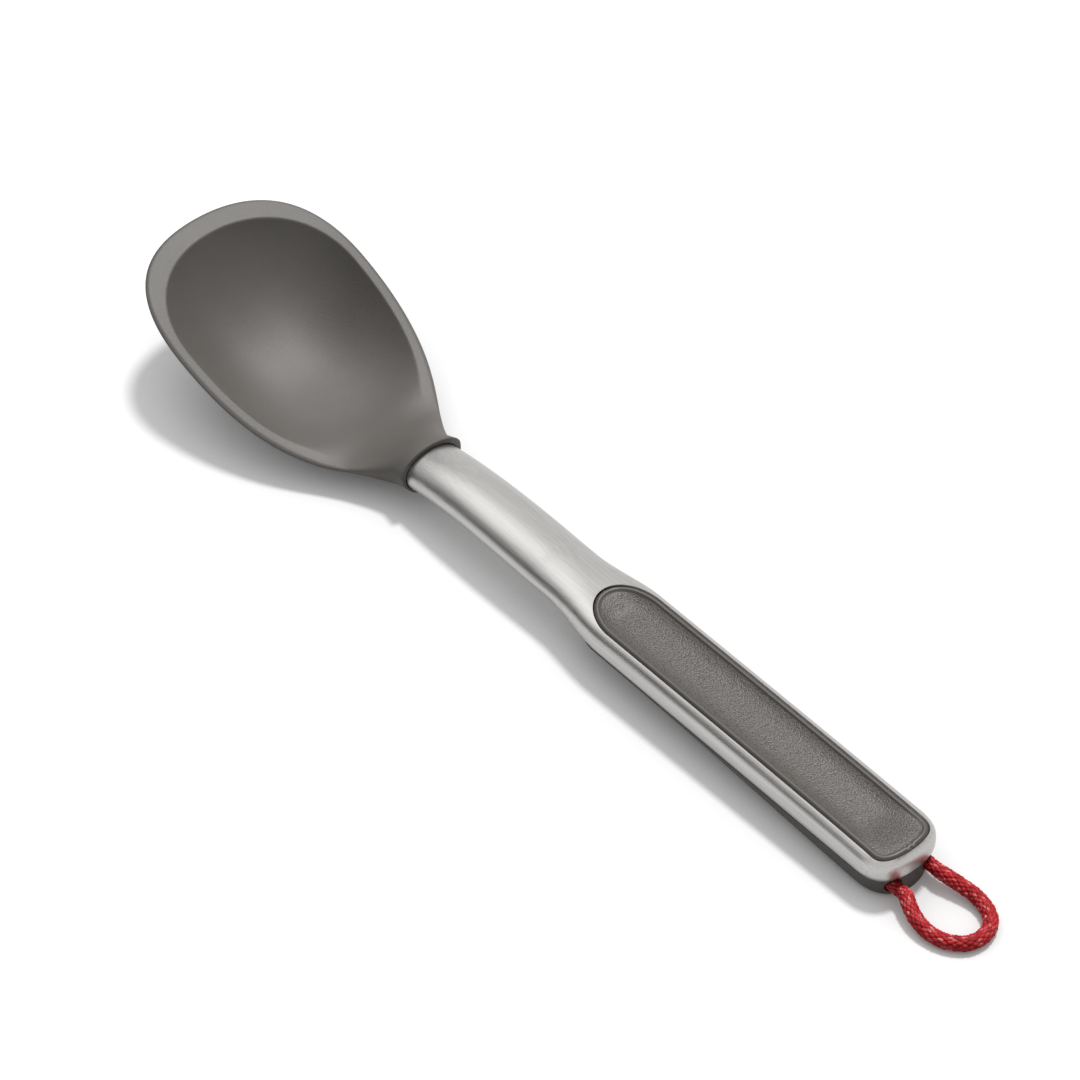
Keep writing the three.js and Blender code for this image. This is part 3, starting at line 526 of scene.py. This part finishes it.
def head_fan(turn):
    """A rib that runs out from the widest place towards the round tip."""
    outer = lip_reach(turn)
    inner = hollow_reach(turn)

    def places(reach):
        return widest_x - reach * math.cos(turn), reach * math.sin(turn)

    run = outer * np.sin(np.linspace(0, math.pi / 2, wall_columns))
    x, y = places(run)
    across = np.clip(y / np.maximum(lip_half(x), tiny / 10), 0, 1)
    across[-1] = 1
    top = lip_height(x) - lip_thickness
    keel = np.minimum(keel_height(x), top)
    back = np.stack([x, y, top - (top - keel) * (1 - across**2)], axis=1)
    x, y = places(np.array([outer]))
    brow = np.stack([x, y, lip_height(x) - lip_thickness / 2], axis=1)
    x, y = places(np.linspace(outer - lip_round, inner, lip_columns))
    lip = np.stack([x, y, lip_height(x)], axis=1)
    run = inner * np.sin(np.linspace(math.pi / 2, 0, wall_columns))
    x, y = places(run)
    across = np.clip(y / np.maximum(hollow_half(x), tiny / 10), 0, 1)
    across[0] = 1
    edge = lip_height(x)
    dip = (edge - floor_height(x)) * (1 - across**hollow_fullness)
    hollow_side = np.stack([x, y, edge - dip], axis=1)
    return head_line(back, np.concatenate([brow, lip]), hollow_side)


fine_step = 0.0001
before_lip = 0.0012
behind_lip = 0.0025
back_places = 30
lip_places = 30
hollow_places = 42


def softened(line, first, last, reach):
    """A rib along the line, its corners rounded over a reach and its places closer round the lip."""
    along = lengths_along(line)
    even = np.arange(0, along[-1], fine_step)
    fine = read_along(even, along, line)
    size = int(reach / fine_step)
    kernel = np.hanning(2 * size + 3)[1:-1]
    kernel /= kernel.sum()
    smooth = np.stack([np.convolve(fine[:, k], kernel, mode="same") for k in range(3)], axis=1)
    hold = 3 * size
    weight = np.minimum(ease(even, even[hold], even[2 * hold]), ease(-even, -even[-hold], -even[-2 * hold]))
    fine = fine + (smooth - fine) * weight[:, None]
    fine = np.concatenate([fine, line[-1:]])
    even = np.concatenate([even, along[-1:]])
    to_lip = max(along[first] - before_lip, 0.3 * along[first])
    past_lip = min(along[last] + behind_lip, along[-1] - 0.7 * (along[-1] - along[last]))
    marks = np.concatenate(
        [
            np.linspace(0, to_lip, back_places, endpoint=False),
            np.linspace(to_lip, past_lip, lip_places, endpoint=False),
            np.linspace(past_lip, along[-1], hollow_places),
        ]
    )
    rib = read_along(marks, even, fine)
    rib[0, 1] = 0
    rib[-1, 1] = 0
    return rib


lip_blend = 0.0006
ramp_blend = 0.0012
blend_change = (-0.09, -0.062)


def edge_blend(x):
    """Reach over which the lip's corners are rounded, wider where the hollow runs out into the ramp."""
    return mix(lip_blend, ramp_blend, float(ease(x, *blend_change)))


end_round = 0.0002
head_stations = np.linspace(collar_x - end_round, widest_x, 72)
tip_turns = np.linspace(math.pi / 2, 0, 90)[1:]
head_ribs = [softened(*head_section(x), edge_blend(x)) for x in head_stations]
head_ribs += [softened(*head_fan(turn), edge_blend(widest_x)) for turn in tip_turns]
collar_end = softened(*head_section(collar_x), edge_blend(collar_x))
bore_half_width = collar_half_width + fit_gap
bore_half_height = collar_half_height + fit_gap
bore_depth = 0.0045
bore_height = neck_axis(collar_x)
around = np.arctan2((collar_end[:, 2] - bore_height) / bore_half_height, collar_end[:, 1] / bore_half_width)


def bore_ring(shift):
    """A half ring round the tube, inside the collar."""
    x = collar_end[:, 0] + shift
    y = bore_half_width * np.cos(around)
    z = neck_axis(x) + bore_half_height * np.sin(around)
    y[0] = 0
    y[-1] = 0
    return np.stack([x, y, z], axis=1)


end_face_width = 0.97
end_face_height = 0.96
end_face = collar_end.copy()
end_face[:, 1] *= end_face_width
end_face[:, 2] = mix(bore_height, end_face[:, 2], end_face_height)
bottom_x = collar_x - bore_depth
bore_bottom = np.tile([bottom_x, 0, neck_axis(bottom_x)], (len(collar_end), 1))
head_ribs = [bore_bottom, bore_ring(-bore_depth), bore_ring(0), end_face] + head_ribs
head = half_sheet("moulded_silicone_head", head_ribs)
mirror_across(head)
bpy.ops.object.shade_smooth_by_angle(angle=math.radians(40))

silicone_look, tree, shader = new_material("matte_silicone")
grain = grained(tree, (2000, 2000, 2000), 4)
clouding = grained(tree, (90, 90, 90), 3)
tree.links.new(
    colour_steps(tree, clouding, (0.35, silicone_dark), (0.65, silicone_pale)),
    shader.inputs["Base Color"],
)
tree.links.new(value_range(tree, grain, 0.58, 0.68), shader.inputs["Roughness"])
tree.links.new(bumped(tree, grain, 0.6, 0.00008), shader.inputs["Normal"])
shader.inputs["Specular IOR Level"].default_value = 1
head.data.materials.append(silicone_look)
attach(head, "spoon")
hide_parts("silicone_head")

# Stiff core of the head
# Moulded nylon plate in the middle of the bowl's wall, with a tang in the end of the tube. Silicone and
# steel cover it on all sides.

core_front_x = -0.128
core_back_x = -0.028
core_stations = 60
core_columns = 20
core_inset = 0.0035
core_least_half = 0.003
core_least_hollow = 0.005
plate_half = 0.0005
tang_half = 0.004
tang_start_x = -0.066
tang_full_x = -0.054
nylon_dark = (0.022, 0.021, 0.02)
nylon_pale = (0.028, 0.027, 0.026)


def core_rib(x, plate):
    """One half section of the plate, from the middle of its top round its edge to that of its bottom."""
    tang = ease(x, tang_start_x, tang_full_x)
    half = float(mix(max(hollow_half(x) - core_inset, core_least_half), tang_half, tang))
    y = np.linspace(0, half, core_columns)
    hollow = np.maximum(hollow_half(x), core_least_hollow)
    edge = lip_height(x)
    above = edge - (edge - floor_height(x)) * (1 - np.clip(y / hollow, 0, 1) ** hollow_fullness)
    below = edge - lip_thickness - (edge - lip_thickness - keel_height(x)) * (1 - (y / lip_half(x)) ** 2)
    middle = mix((above + below) / 2, neck_axis(x), tang)
    top = np.stack([np.full(core_columns, x), y, middle + plate], axis=1)
    bottom = np.stack([np.full(core_columns, x), y, middle - plate], axis=1)
    return np.concatenate([top, bottom[::-1]])


core_ribs = [core_rib(x, plate_half) for x in np.linspace(core_front_x, core_back_x, core_stations)]
core_ribs[0] = core_rib(core_front_x, 0)
core_ribs[-1] = core_rib(core_back_x, 0)
core = half_sheet("stiff_head_core", core_ribs)
mirror_across(core)
bpy.ops.object.shade_smooth_by_angle(angle=math.radians(40))

nylon_look, tree, shader = new_material("moulded_nylon")
flow = grained(tree, (300, 300, 300), 2)
tree.links.new(
    colour_steps(tree, flow, (0.4, nylon_dark), (0.6, nylon_pale)),
    shader.inputs["Base Color"],
)
shader.inputs["Roughness"].default_value = 0.55
core.data.materials.append(nylon_look)
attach(core, "spoon")
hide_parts("head_core")

# Carrier of the grip
# Plain moulded nylon body inside the grip, of the same nylon as the core, which backs both soft grips and
# holds the cord. The steel and the grips cover it on all sides.

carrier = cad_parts["handle_carrier"]
carrier.data.materials.clear()
carrier.data.materials.append(nylon_look)

# Top grip pad
# Soft rubber-like pad that fills the steel's window from below: a smooth raised rim round a scooped middle
# with a pebbled skin.

pad_rim = 0.0014
pad_sunk = 0.0001
pad_thickness = 0.0043
pad_straight_x = pad_front_x + pad_front_round
pad_turn_x = pad_tail_x - pad_tail_round
pad_columns = 110
pad_side_rows = 5
pad_back_rows = 4
rim_crowding = 1.35
rim_step = 0.00035
rim_step_half = 0.0004
rim_round_depth = 0.0005
rim_round_width = 0.0008
scoop_depth = 0.0019
scoop_power = 3.2
scoop_front_x = pad_front_x + pad_rim - 0.001
scoop_full_x = pad_front_x + pad_rim + 0.008
scoop_tail_run = 0.014
pebble_fade = (pad_rim + 0.0001, pad_rim + 0.0006)
outline_reach = 0.014
# Pebble colours: the lighter middle step is a painted glint on the pebbles, the darkest step is painted
# shade in the pits between them.
pad_between = (0.09, 0.081, 0.074)
pad_slope_painted_glint = (0.112, 0.101, 0.091)
pad_pit_painted_shade = (0.05, 0.045, 0.04)
pad_outline_x = in_order(
    crowded(pad_front_x, pad_straight_x, 200),
    np.linspace(pad_straight_x, pad_turn_x, 900),
    tail_stations(pad_tail_x, pad_tail_round, 200),
)
pad_outline = np.stack([pad_outline_x, pad_half(pad_outline_x)], axis=1)


def from_outline(plan):
    """Distance of each place in plan from the pad's outline."""
    near = pad_outline[np.abs(pad_outline[:, 0] - plan[-1, 0]) < outline_reach]
    return np.array([np.hypot(near[:, 0] - x, near[:, 1] - y).min() for x, y in plan])


def pad_rib(middle, outer):
    """One half section of the pad: scooped top, rim, side and underside, and how pebbled each place is."""
    share = 1 - (1 - np.linspace(0, 1, pad_columns)) ** rim_crowding
    plan = middle + (outer - middle) * share[:, None]
    x, y = plan.T
    half = pad_half(x)
    inset = from_outline(plan)
    inner = np.maximum(np.maximum(half - pad_rim, half / 2), tiny)
    ahead = ease(x, scoop_front_x, scoop_full_x)
    behind = ease(pad_tail_x - pad_rim - x, 0, scoop_tail_run)
    scoop = scoop_depth * ahead * behind * np.clip(1 - (y / inner) ** scoop_power, 0, 1)
    step = rim_step * ease(inset, pad_rim - rim_step_half, pad_rim + rim_step_half)
    rounding = rim_round_depth * np.clip(1 - inset / rim_round_width, 0, 1) ** 2
    top = handle_top(x, y) - pad_sunk - scoop - step - rounding
    low = crown(x) - pad_thickness
    side = np.linspace(top[-1], low[-1], pad_side_rows + 1)[1:]
    back_columns = np.linspace(0, pad_columns - 1, pad_back_rows + 1).astype(int)[1:]
    back = plan[::-1][back_columns]
    places = np.concatenate(
        [
            np.column_stack([plan, top]),
            np.column_stack([np.tile(outer, (pad_side_rows, 1)), side]),
            np.column_stack([back, crown(back[:, 0]) - pad_thickness]),
        ]
    )
    pebbled = np.concatenate([ease(inset, *pebble_fade), np.zeros(pad_side_rows + pad_back_rows)])
    return places, pebbled


pad_stations = in_order(
    crowded(pad_front_x, pad_straight_x, 60),
    np.linspace(pad_straight_x, pad_turn_x, 110),
)
pad_corner = along_outline(pad_half, tail_stations(pad_tail_x, pad_tail_round, outline_steps), 70)
pad_corner[-1, 1] = 0
pad_ribs = [pad_rib(np.array([x, 0]), np.array([x, float(pad_half(x))])) for x in pad_stations]
pad_ribs += [pad_rib(np.array([pad_turn_x, 0]), outer) for outer in pad_corner[1:]]
pad = half_sheet("pebbled_top_pad", [places for places, _ in pad_ribs])
skin = pad.data.attributes.new("pebbled", "FLOAT", "POINT")
skin.data.foreach_set("value", np.concatenate([pebbled for _, pebbled in pad_ribs]))
mirror_across(pad)
bpy.ops.object.shade_smooth_by_angle(angle=math.radians(50))

pad_look, tree, shader = new_material("pebbled_soft_grip")
cells = tree.nodes.new("ShaderNodeTexVoronoi")
cells.feature = "SMOOTH_F1"
cells.inputs["Scale"].default_value = 2600
coordinates = tree.nodes.new("ShaderNodeTexCoord")
tree.links.new(coordinates.outputs["Object"], cells.inputs["Vector"])
mask = tree.nodes.new("ShaderNodeAttribute")
mask.attribute_name = "pebbled"
pebbles = tree.nodes.new("ShaderNodeMath")
pebbles.operation = "MULTIPLY"
tree.links.new(cells.outputs["Distance"], pebbles.inputs[0])
tree.links.new(mask.outputs["Fac"], pebbles.inputs[1])
# Pebble colour: lighter on the pebbles' slopes, a painted glint, and darker in the pits between them,
# painted shade.
tree.links.new(
    colour_steps(
        tree,
        pebbles.outputs["Value"],
        (0.0, pad_between),
        (0.3, pad_slope_painted_glint),
        (0.65, pad_pit_painted_shade),
    ),
    shader.inputs["Base Color"],
)
tree.links.new(bumped(tree, pebbles.outputs["Value"], 1, -0.00013), shader.inputs["Normal"])
shader.inputs["Roughness"].default_value = 0.44
shader.inputs["Specular IOR Level"].default_value = 0.45
pad.data.materials.append(pad_look)
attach(pad, "spoon")
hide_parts("top_grip_pad")

# Underside grip
# Soft shell that closes the grip from below, smooth, with rounded lower corners, a flat land that it rests
# on and two round notches in its tail for the cord.

under_tail_x = 0.145
under_half_width = 0.0114
under_edge_round = 0.0004
land_front_x = 0.073
land_share = 0.4
front_rise = 0.0037
hull_front_power = 1.2
hull_tail_power = 4
rim_rows = 7
hull_rows = 30
cord_exit_y = 0.006
cord_exit_z = 0.0042
notch_radius = 0.0023
notch_length = 0.02
grip_dark = (0.104, 0.095, 0.087)
grip_pale = (0.118, 0.108, 0.099)
under_half = rounded_bar(grip_front_x, under_tail_x, under_half_width, belly_front_round, tail_round)


def under_rib(x):
    """One half section, from the middle of its top round the hull-shaped side to that of its bottom."""
    half = float(under_half(x))
    top = float(steel_edge(x)) - fit_gap
    low = front_rise * max(0.0, (land_front_x - x) / (land_front_x - grip_front_x)) ** 2
    land = land_share * half
    along = (x - grip_front_x) / (under_tail_x - grip_front_x)
    power = mix(hull_front_power, hull_tail_power, along**3)
    turn = np.linspace(0, math.pi / 2, rim_rows)
    rim = min(under_edge_round, half / 2)
    edge = np.stack([half - rim + rim * np.sin(turn), top - rim + rim * np.cos(turn)], axis=1)
    turn = np.linspace(0, math.pi / 2, hull_rows)[1:]
    out = np.clip(np.cos(turn), 0, 1) ** (2 / power)
    down = np.sin(turn) ** (2 / power)
    hull = np.stack([land + (half - land) * out, top - rim - (top - rim - low) * down], axis=1)
    places = np.concatenate([[(0, top), (half / 2, top)], edge, hull, [(land / 2, low), (0, low)]])
    return np.stack([np.full(len(places), x), places[:, 0], places[:, 1]], axis=1)


under_straight_x = grip_front_x + belly_front_round
under_stations = in_order(
    crowded(grip_front_x, under_straight_x, 30),
    np.linspace(under_straight_x, under_tail_x - tail_round, 60),
    tail_stations(under_tail_x, tail_round, 40),
)
underside = half_sheet("soft_underside_grip", [under_rib(x) for x in under_stations])
mirror_across(underside)
for side in (1, -1):
    bpy.ops.mesh.primitive_cylinder_add(
        vertices=48,
        radius=notch_radius,
        depth=notch_length,
        location=(under_tail_x, side * cord_exit_y, cord_exit_z),
        rotation=(0, math.pi / 2, 0),
    )
    drill = bpy.context.object
    bpy.context.view_layer.objects.active = underside
    notch = underside.modifiers.new("cord_notch", "BOOLEAN")
    notch.operation = "DIFFERENCE"
    notch.solver = "EXACT"
    notch.object = drill
    bpy.ops.object.modifier_apply(modifier=notch.name)
    bpy.data.objects.remove(drill)
underside.select_set(True)
bpy.context.view_layer.objects.active = underside
bpy.ops.object.shade_smooth_by_angle(angle=math.radians(40))

grip_look, tree, shader = new_material("smooth_soft_grip")
grip_grain = grained(tree, (2200, 2200, 2200), 3)
tree.links.new(
    colour_steps(tree, grip_grain, (0.35, grip_dark), (0.65, grip_pale)),
    shader.inputs["Base Color"],
)
tree.links.new(bumped(tree, grip_grain, 0.15, 0.00003), shader.inputs["Normal"])
shader.inputs["Roughness"].default_value = 0.6
underside.data.materials.append(grip_look)
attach(underside, "spoon")
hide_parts("underside_grip")

# Held cord
# The stretch of a round braided cord that is held in the tail, by a bight round a post. Ten strands run each
# way round it, each over one and under one.

cord_diameter = 0.004
strands = 10
strand_steps = 8
plait = 0.00115
relief = 0.0004
swell_run = 0.004
post_x = 0.131
bend_start_x = 0.1385
post_turn = np.linspace(math.pi / 2, 1.5 * math.pi, 13)
bight = [(post_x + cord_exit_y * math.cos(a), cord_exit_y * math.sin(a), cord_exit_z) for a in post_turn]
held_places = [
    (tail_x, cord_exit_y, cord_exit_z),
    (bend_start_x, cord_exit_y, cord_exit_z),
    *bight,
    (bend_start_x, -cord_exit_y, cord_exit_z),
    (tail_x, -cord_exit_y, cord_exit_z),
]


def smooth_line(places, step):
    """Places at even steps along a smooth line through the given ones."""
    places = np.array(places, float)
    gaps = np.sqrt(np.linalg.norm(np.diff(places, axis=0), axis=1))
    knots = np.concatenate([[0], np.cumsum(gaps)])
    slope = np.gradient(places, knots, axis=0)
    line = []
    for i in range(len(places) - 1):
        t = np.linspace(0, 1, 60)[:, None]
        run = knots[i + 1] - knots[i]
        line.append(
            (2 * t**3 - 3 * t**2 + 1) * places[i]
            + (t**3 - 2 * t**2 + t) * run * slope[i]
            + (3 * t**2 - 2 * t**3) * places[i + 1]
            + (t**3 - t**2) * run * slope[i + 1]
        )
    line = np.concatenate(line)
    along = lengths_along(line)
    return read_along(np.linspace(0, along[-1], max(2, round(along[-1] / step) + 1)), along, line)


fibres = np.random.default_rng(4)
scatter_one_way = 12.9898
scatter_other_way = 78.233
scatter_along = 4.1414
scatter_tightness = 24634.6345
scatter_tone = 43758.5453
fibre_share = 0.45


def braided(name, places, swell):
    """A braided cord along a line: a tube whose skin rises over each strand, with the strands' tones."""
    line = smooth_line(places, plait / strand_steps)
    rings = len(line)
    sides = strands * strand_steps
    ahead = np.gradient(line, axis=0)
    ahead /= np.linalg.norm(ahead, axis=1)[:, None]
    across = np.zeros_like(line)
    across[0] = np.cross(ahead[0], (0, 0, 1))
    for i in range(1, rings):
        across[i] = across[i - 1] - ahead[i] * np.dot(across[i - 1], ahead[i])
        across[i] /= np.linalg.norm(across[i])
    up = np.cross(ahead, across)
    along = np.arange(rings)[:, None] / strand_steps
    round_it = np.arange(sides)[None, :] / strand_steps
    one_way = round_it + along / 2
    other_way = round_it - along / 2
    strand_a = np.floor(one_way)
    strand_b = np.floor(other_way)
    over = np.mod(strand_a + strand_b, 2) < 1
    across_strand = np.where(over, one_way - strand_a, other_way - strand_b)
    crest = 1 - (2 * across_strand - 1) ** 2
    run = np.where(over, other_way - strand_b, one_way - strand_a)
    stitch = np.mod(strand_a, strands) * scatter_one_way + np.mod(strand_b, strands) * scatter_other_way
    tightness = np.mod(np.sin(stitch + np.floor(along) * scatter_along) * scatter_tightness, 1)
    height = crest * (0.4 + 0.6 * np.sin(math.pi * run)) * (0.65 + 0.35 * tightness)
    from_end = np.minimum(along, along[::-1]) * plait
    radius = cord_diameter / 2 + swell * ease(from_end, 0, swell_run) - relief * (1 - height)
    angle = 2 * math.pi * np.arange(sides) / sides
    ring = np.cos(angle)[None, :, None] * across[:, None, :] + np.sin(angle)[None, :, None] * up[:, None, :]
    points = line[:, None, :] + radius[:, :, None] * ring
    stitch_tone = np.mod(np.sin(strand_a * scatter_one_way + strand_b * scatter_other_way) * scatter_tone, 1)
    tone = mix(stitch_tone, fibres.random((rings, sides)), fibre_share)
    faces = []
    for i in range(rings - 1):
        for j in range(sides):
            k = (j + 1) % sides
            faces.append((i * sides + j, i * sides + k, (i + 1) * sides + k, (i + 1) * sides + j))
    faces.append(tuple(range(sides))[::-1])
    faces.append(tuple((rings - 1) * sides + j for j in range(sides)))
    mesh = bpy.data.meshes.new(name)
    mesh.from_pydata(points.reshape(-1, 3).tolist(), [], faces)
    for label, values in (("strand_height", height), ("strand_tone", tone)):
        mesh.attributes.new(label, "FLOAT", "POINT").data.foreach_set("value", values.reshape(-1))
    cord = bpy.data.objects.new(name, mesh)
    bpy.context.scene.collection.objects.link(cord)
    bpy.context.view_layer.objects.active = cord
    cord.select_set(True)
    bpy.ops.object.mode_set(mode="EDIT")
    bpy.ops.mesh.select_all(action="SELECT")
    bpy.ops.mesh.normals_make_consistent(inside=False)
    bpy.ops.object.mode_set(mode="OBJECT")
    bpy.ops.object.shade_smooth()
    return cord, line


deep_red = (0.25, 0.005, 0.009)
full_red = (0.56, 0.013, 0.021)
bright_red = (0.7, 0.03, 0.04)
# The pale pink is a painted glint, flecked at random over the stitches.
painted_glint_pink = (0.93, 0.36, 0.34)
# Painted shade where the skin sinks between the strands.
painted_shade_between_strands = (0.3, 0.2, 0.2)
cord_look, tree, shader = new_material("red_braid")
strand_height = tree.nodes.new("ShaderNodeAttribute")
strand_height.attribute_name = "strand_height"
strand_tone = tree.nodes.new("ShaderNodeAttribute")
strand_tone.attribute_name = "strand_tone"
# Strand tones, with the pale pink flecks as painted glints.
tones = colour_steps(
    tree,
    strand_tone.outputs["Fac"],
    (0.12, deep_red),
    (0.4, full_red),
    (0.66, bright_red),
    (0.88, painted_glint_pink),
)
# Painted shade: the tones are darkened where the skin sinks between strands.
shade = colour_steps(tree, strand_height.outputs["Fac"], (0.05, painted_shade_between_strands), (0.5, (1, 1, 1)))
depth = tree.nodes.new("ShaderNodeMix")
depth.data_type = "RGBA"
depth.blend_type = "MULTIPLY"
depth.inputs["Factor"].default_value = 1
tree.links.new(tones, depth.inputs["A"])
tree.links.new(shade, depth.inputs["B"])
tree.links.new(depth.outputs["Result"], shader.inputs["Base Color"])
threads = grained(tree, (6000, 6000, 6000), 2)
tree.links.new(bumped(tree, threads, 0.4, 0.00005), shader.inputs["Normal"])
shader.inputs["Roughness"].default_value = 0.6
shader.inputs["Specular IOR Level"].default_value = 0.25

held, _ = braided("held_cord_braid", held_places, 0)
held.data.materials.append(cord_look)
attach(held, "spoon")
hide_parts("held_cord")

# Hanging loop
# The free stretch of the same cord. It leaves the tail through the two notches, lies loose on the table and
# is a little fuller there than where it is held.

loop_places = [
    (tail_x, -cord_exit_y, cord_exit_z),
    (0.1483, -0.006, 0.0042),
    (0.1503, -0.007, 0.004),
    (0.1523, -0.0079, 0.0036),
    (0.1548, -0.0087, 0.0031),
    (0.1578, -0.0091, 0.0026),
    (0.1608, -0.0089, 0.0022),
    (0.1638, -0.008, 0.00205),
    (0.1663, -0.0065, 0.00205),
    (0.1685, -0.0042, 0.00205),
    (0.1695, -0.0015, 0.00205),
    (0.1695, 0.0013, 0.00205),
    (0.1687, 0.0038, 0.00205),
    (0.1669, 0.006, 0.00205),
    (0.1643, 0.0074, 0.0021),
    (0.1613, 0.0081, 0.0023),
    (0.1583, 0.0081, 0.0027),
    (0.1555, 0.0076, 0.0031),
    (0.1528, 0.007, 0.0036),
    (0.1503, 0.0064, 0.004),
    (0.1483, 0.006, 0.0042),
    (tail_x, cord_exit_y, cord_exit_z),
]
loop_swell = 0.0002
loop, loop_line = braided("hanging_loop_braid", loop_places, loop_swell)
loop.data.materials.append(cord_look)
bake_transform(loop)
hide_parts("hanging_loop")

# Floor and light
# White table in an even white room; its glow is darkened close to the object, a painted contact shadow. A
# lamp stands high up on the far side, flagged off the steel, and a broad soft one beyond the bowl. Dark
# screens show in sheens alone.

table_size = 6
table_height = -0.0001
table_reflects = 0.58
table_glow = 0.53
contact_reach = 0.03
contact_samples = 4
room_share = 0.09
screen_grey = 0.02
screen_distance = 1.1
screen_width = 1.5
lamps = (
    ("high_lamp", (-0.16, 0.4, 1), 9, 0.8),
    ("soft_lamp", (-0.536, 0.058, 0.848), 34, 0.095),
)


def seen_directly(tree):
    """A mask of the rays that show the white surround: from the camera, off a gloss or through glass."""
    rays = tree.nodes.new("ShaderNodeLightPath")
    mask = rays.outputs["Is Camera Ray"]
    for kind in ("Is Glossy Ray", "Is Transmission Ray"):
        either = tree.nodes.new("ShaderNodeMath")
        either.operation = "MAXIMUM"
        tree.links.new(mask, either.inputs[0])
        tree.links.new(rays.outputs[kind], either.inputs[1])
        mask = either.outputs["Value"]
    return mask


bpy.ops.mesh.primitive_plane_add(size=table_size, location=(0, 0, table_height))
floor = bpy.context.object
floor.name = "white_table"
table_look, tree, shader = new_material("white_table")
shader.inputs["Base Color"].default_value = (table_reflects, table_reflects, table_reflects, 1)
shader.inputs["Roughness"].default_value = 1
shader.inputs["Specular IOR Level"].default_value = 0
table_glow_with_painted_shadow = tree.nodes.new("ShaderNodeEmission")
table_glow_with_painted_shadow.inputs["Strength"].default_value = table_glow
# Painted contact shadow: the table's glow is darkened where the object stands close to it.
painted_contact_shadow = tree.nodes.new("ShaderNodeAmbientOcclusion")
painted_contact_shadow.samples = contact_samples
painted_contact_shadow.inputs["Distance"].default_value = contact_reach
tree.links.new(painted_contact_shadow.outputs["Color"], table_glow_with_painted_shadow.inputs["Color"])
both = tree.nodes.new("ShaderNodeAddShader")
choose = tree.nodes.new("ShaderNodeMixShader")
tree.links.new(shader.outputs["BSDF"], both.inputs[0])
tree.links.new(table_glow_with_painted_shadow.outputs["Emission"], both.inputs[1])
tree.links.new(seen_directly(tree), choose.inputs["Fac"])
tree.links.new(shader.outputs["BSDF"], choose.inputs[1])
tree.links.new(both.outputs["Shader"], choose.inputs[2])
tree.links.new(choose.outputs["Shader"], tree.nodes["Material Output"].inputs["Surface"])
floor.data.materials.append(table_look)

screen_look, tree, shader = new_material("dark_screen")
shader.inputs["Base Color"].default_value = (screen_grey, screen_grey, screen_grey, 1)
shader.inputs["Roughness"].default_value = 1
shader.inputs["Specular IOR Level"].default_value = 0
for name, away, low, high in (
    ("near_screen", (-0.57, -0.82), 0.25, 1.1),
    ("far_screen", (-1, 0.1), 0, 0.9),
    ("end_screen", (0.8, 0.6), 0.95, 1.8),
):
    bpy.ops.mesh.primitive_plane_add(
        size=1,
        location=(screen_distance * away[0], screen_distance * away[1], (low + high) / 2),
        rotation=(math.pi / 2, 0, math.atan2(away[1], away[0]) + math.pi / 2),
        scale=(screen_width, high - low, 1),
    )
    screen = bpy.context.object
    screen.name = name
    bpy.ops.object.transform_apply(location=True, rotation=True, scale=True)
    screen.data.materials.append(screen_look)
    screen.visible_camera = False
    screen.visible_diffuse = False
    screen.visible_shadow = False

for name, side, angle, share in lamps:
    side = Vector(side).normalized()
    lamp_data = bpy.data.lights.new(name, "SUN")
    lamp_data.energy = share * math.pi / side.z
    lamp_data.angle = math.radians(angle)
    lamp = bpy.data.objects.new(name, lamp_data)
    lamp.rotation_euler = side.to_track_quat("Z", "Y").to_euler()
    bpy.context.scene.collection.objects.link(lamp)

flagged_off = bpy.data.collections.new("flagged_off_high_lamp")
flagged_off.objects.link(steel)
flagged_off.collection_objects[0].light_linking.link_state = "EXCLUDE"
bpy.data.objects["high_lamp"].light_linking.receiver_collection = flagged_off

world = bpy.data.worlds.new("white_room")
world.use_nodes = True
bpy.context.scene.world = world
tree = world.node_tree
room = tree.nodes["Background"]
room.inputs["Color"].default_value = (1, 1, 1, 1)
room.inputs["Strength"].default_value = room_share
seen_room = tree.nodes.new("ShaderNodeBackground")
seen_room.inputs["Color"].default_value = (1, 1, 1, 1)
seen_room.inputs["Strength"].default_value = 1
choose = tree.nodes.new("ShaderNodeMixShader")
tree.links.new(seen_directly(tree), choose.inputs["Fac"])
tree.links.new(room.outputs["Background"], choose.inputs[1])
tree.links.new(seen_room.outputs["Background"], choose.inputs[2])
tree.links.new(choose.outputs["Shader"], tree.nodes["World Output"].inputs["Surface"])

# Camera
# A long lens, high on the side of the handle, with the bowl at the upper left.

camera_data = bpy.data.cameras.new("camera")
camera_data.lens = 145.7
camera_data.sensor_width = 36
camera_data.clip_end = 20
camera = bpy.data.objects.new("camera", camera_data)
camera.location = (0.61635, -0.5446, 0.85982)
looking_at = Vector((-0.01002, 0.01071, 0))
camera.rotation_euler = (looking_at - camera.location).to_track_quat("-Z", "Y").to_euler()
bpy.context.scene.collection.objects.link(camera)
bpy.context.scene.camera = camera
bpy.context.scene.view_settings.view_transform = "Standard"
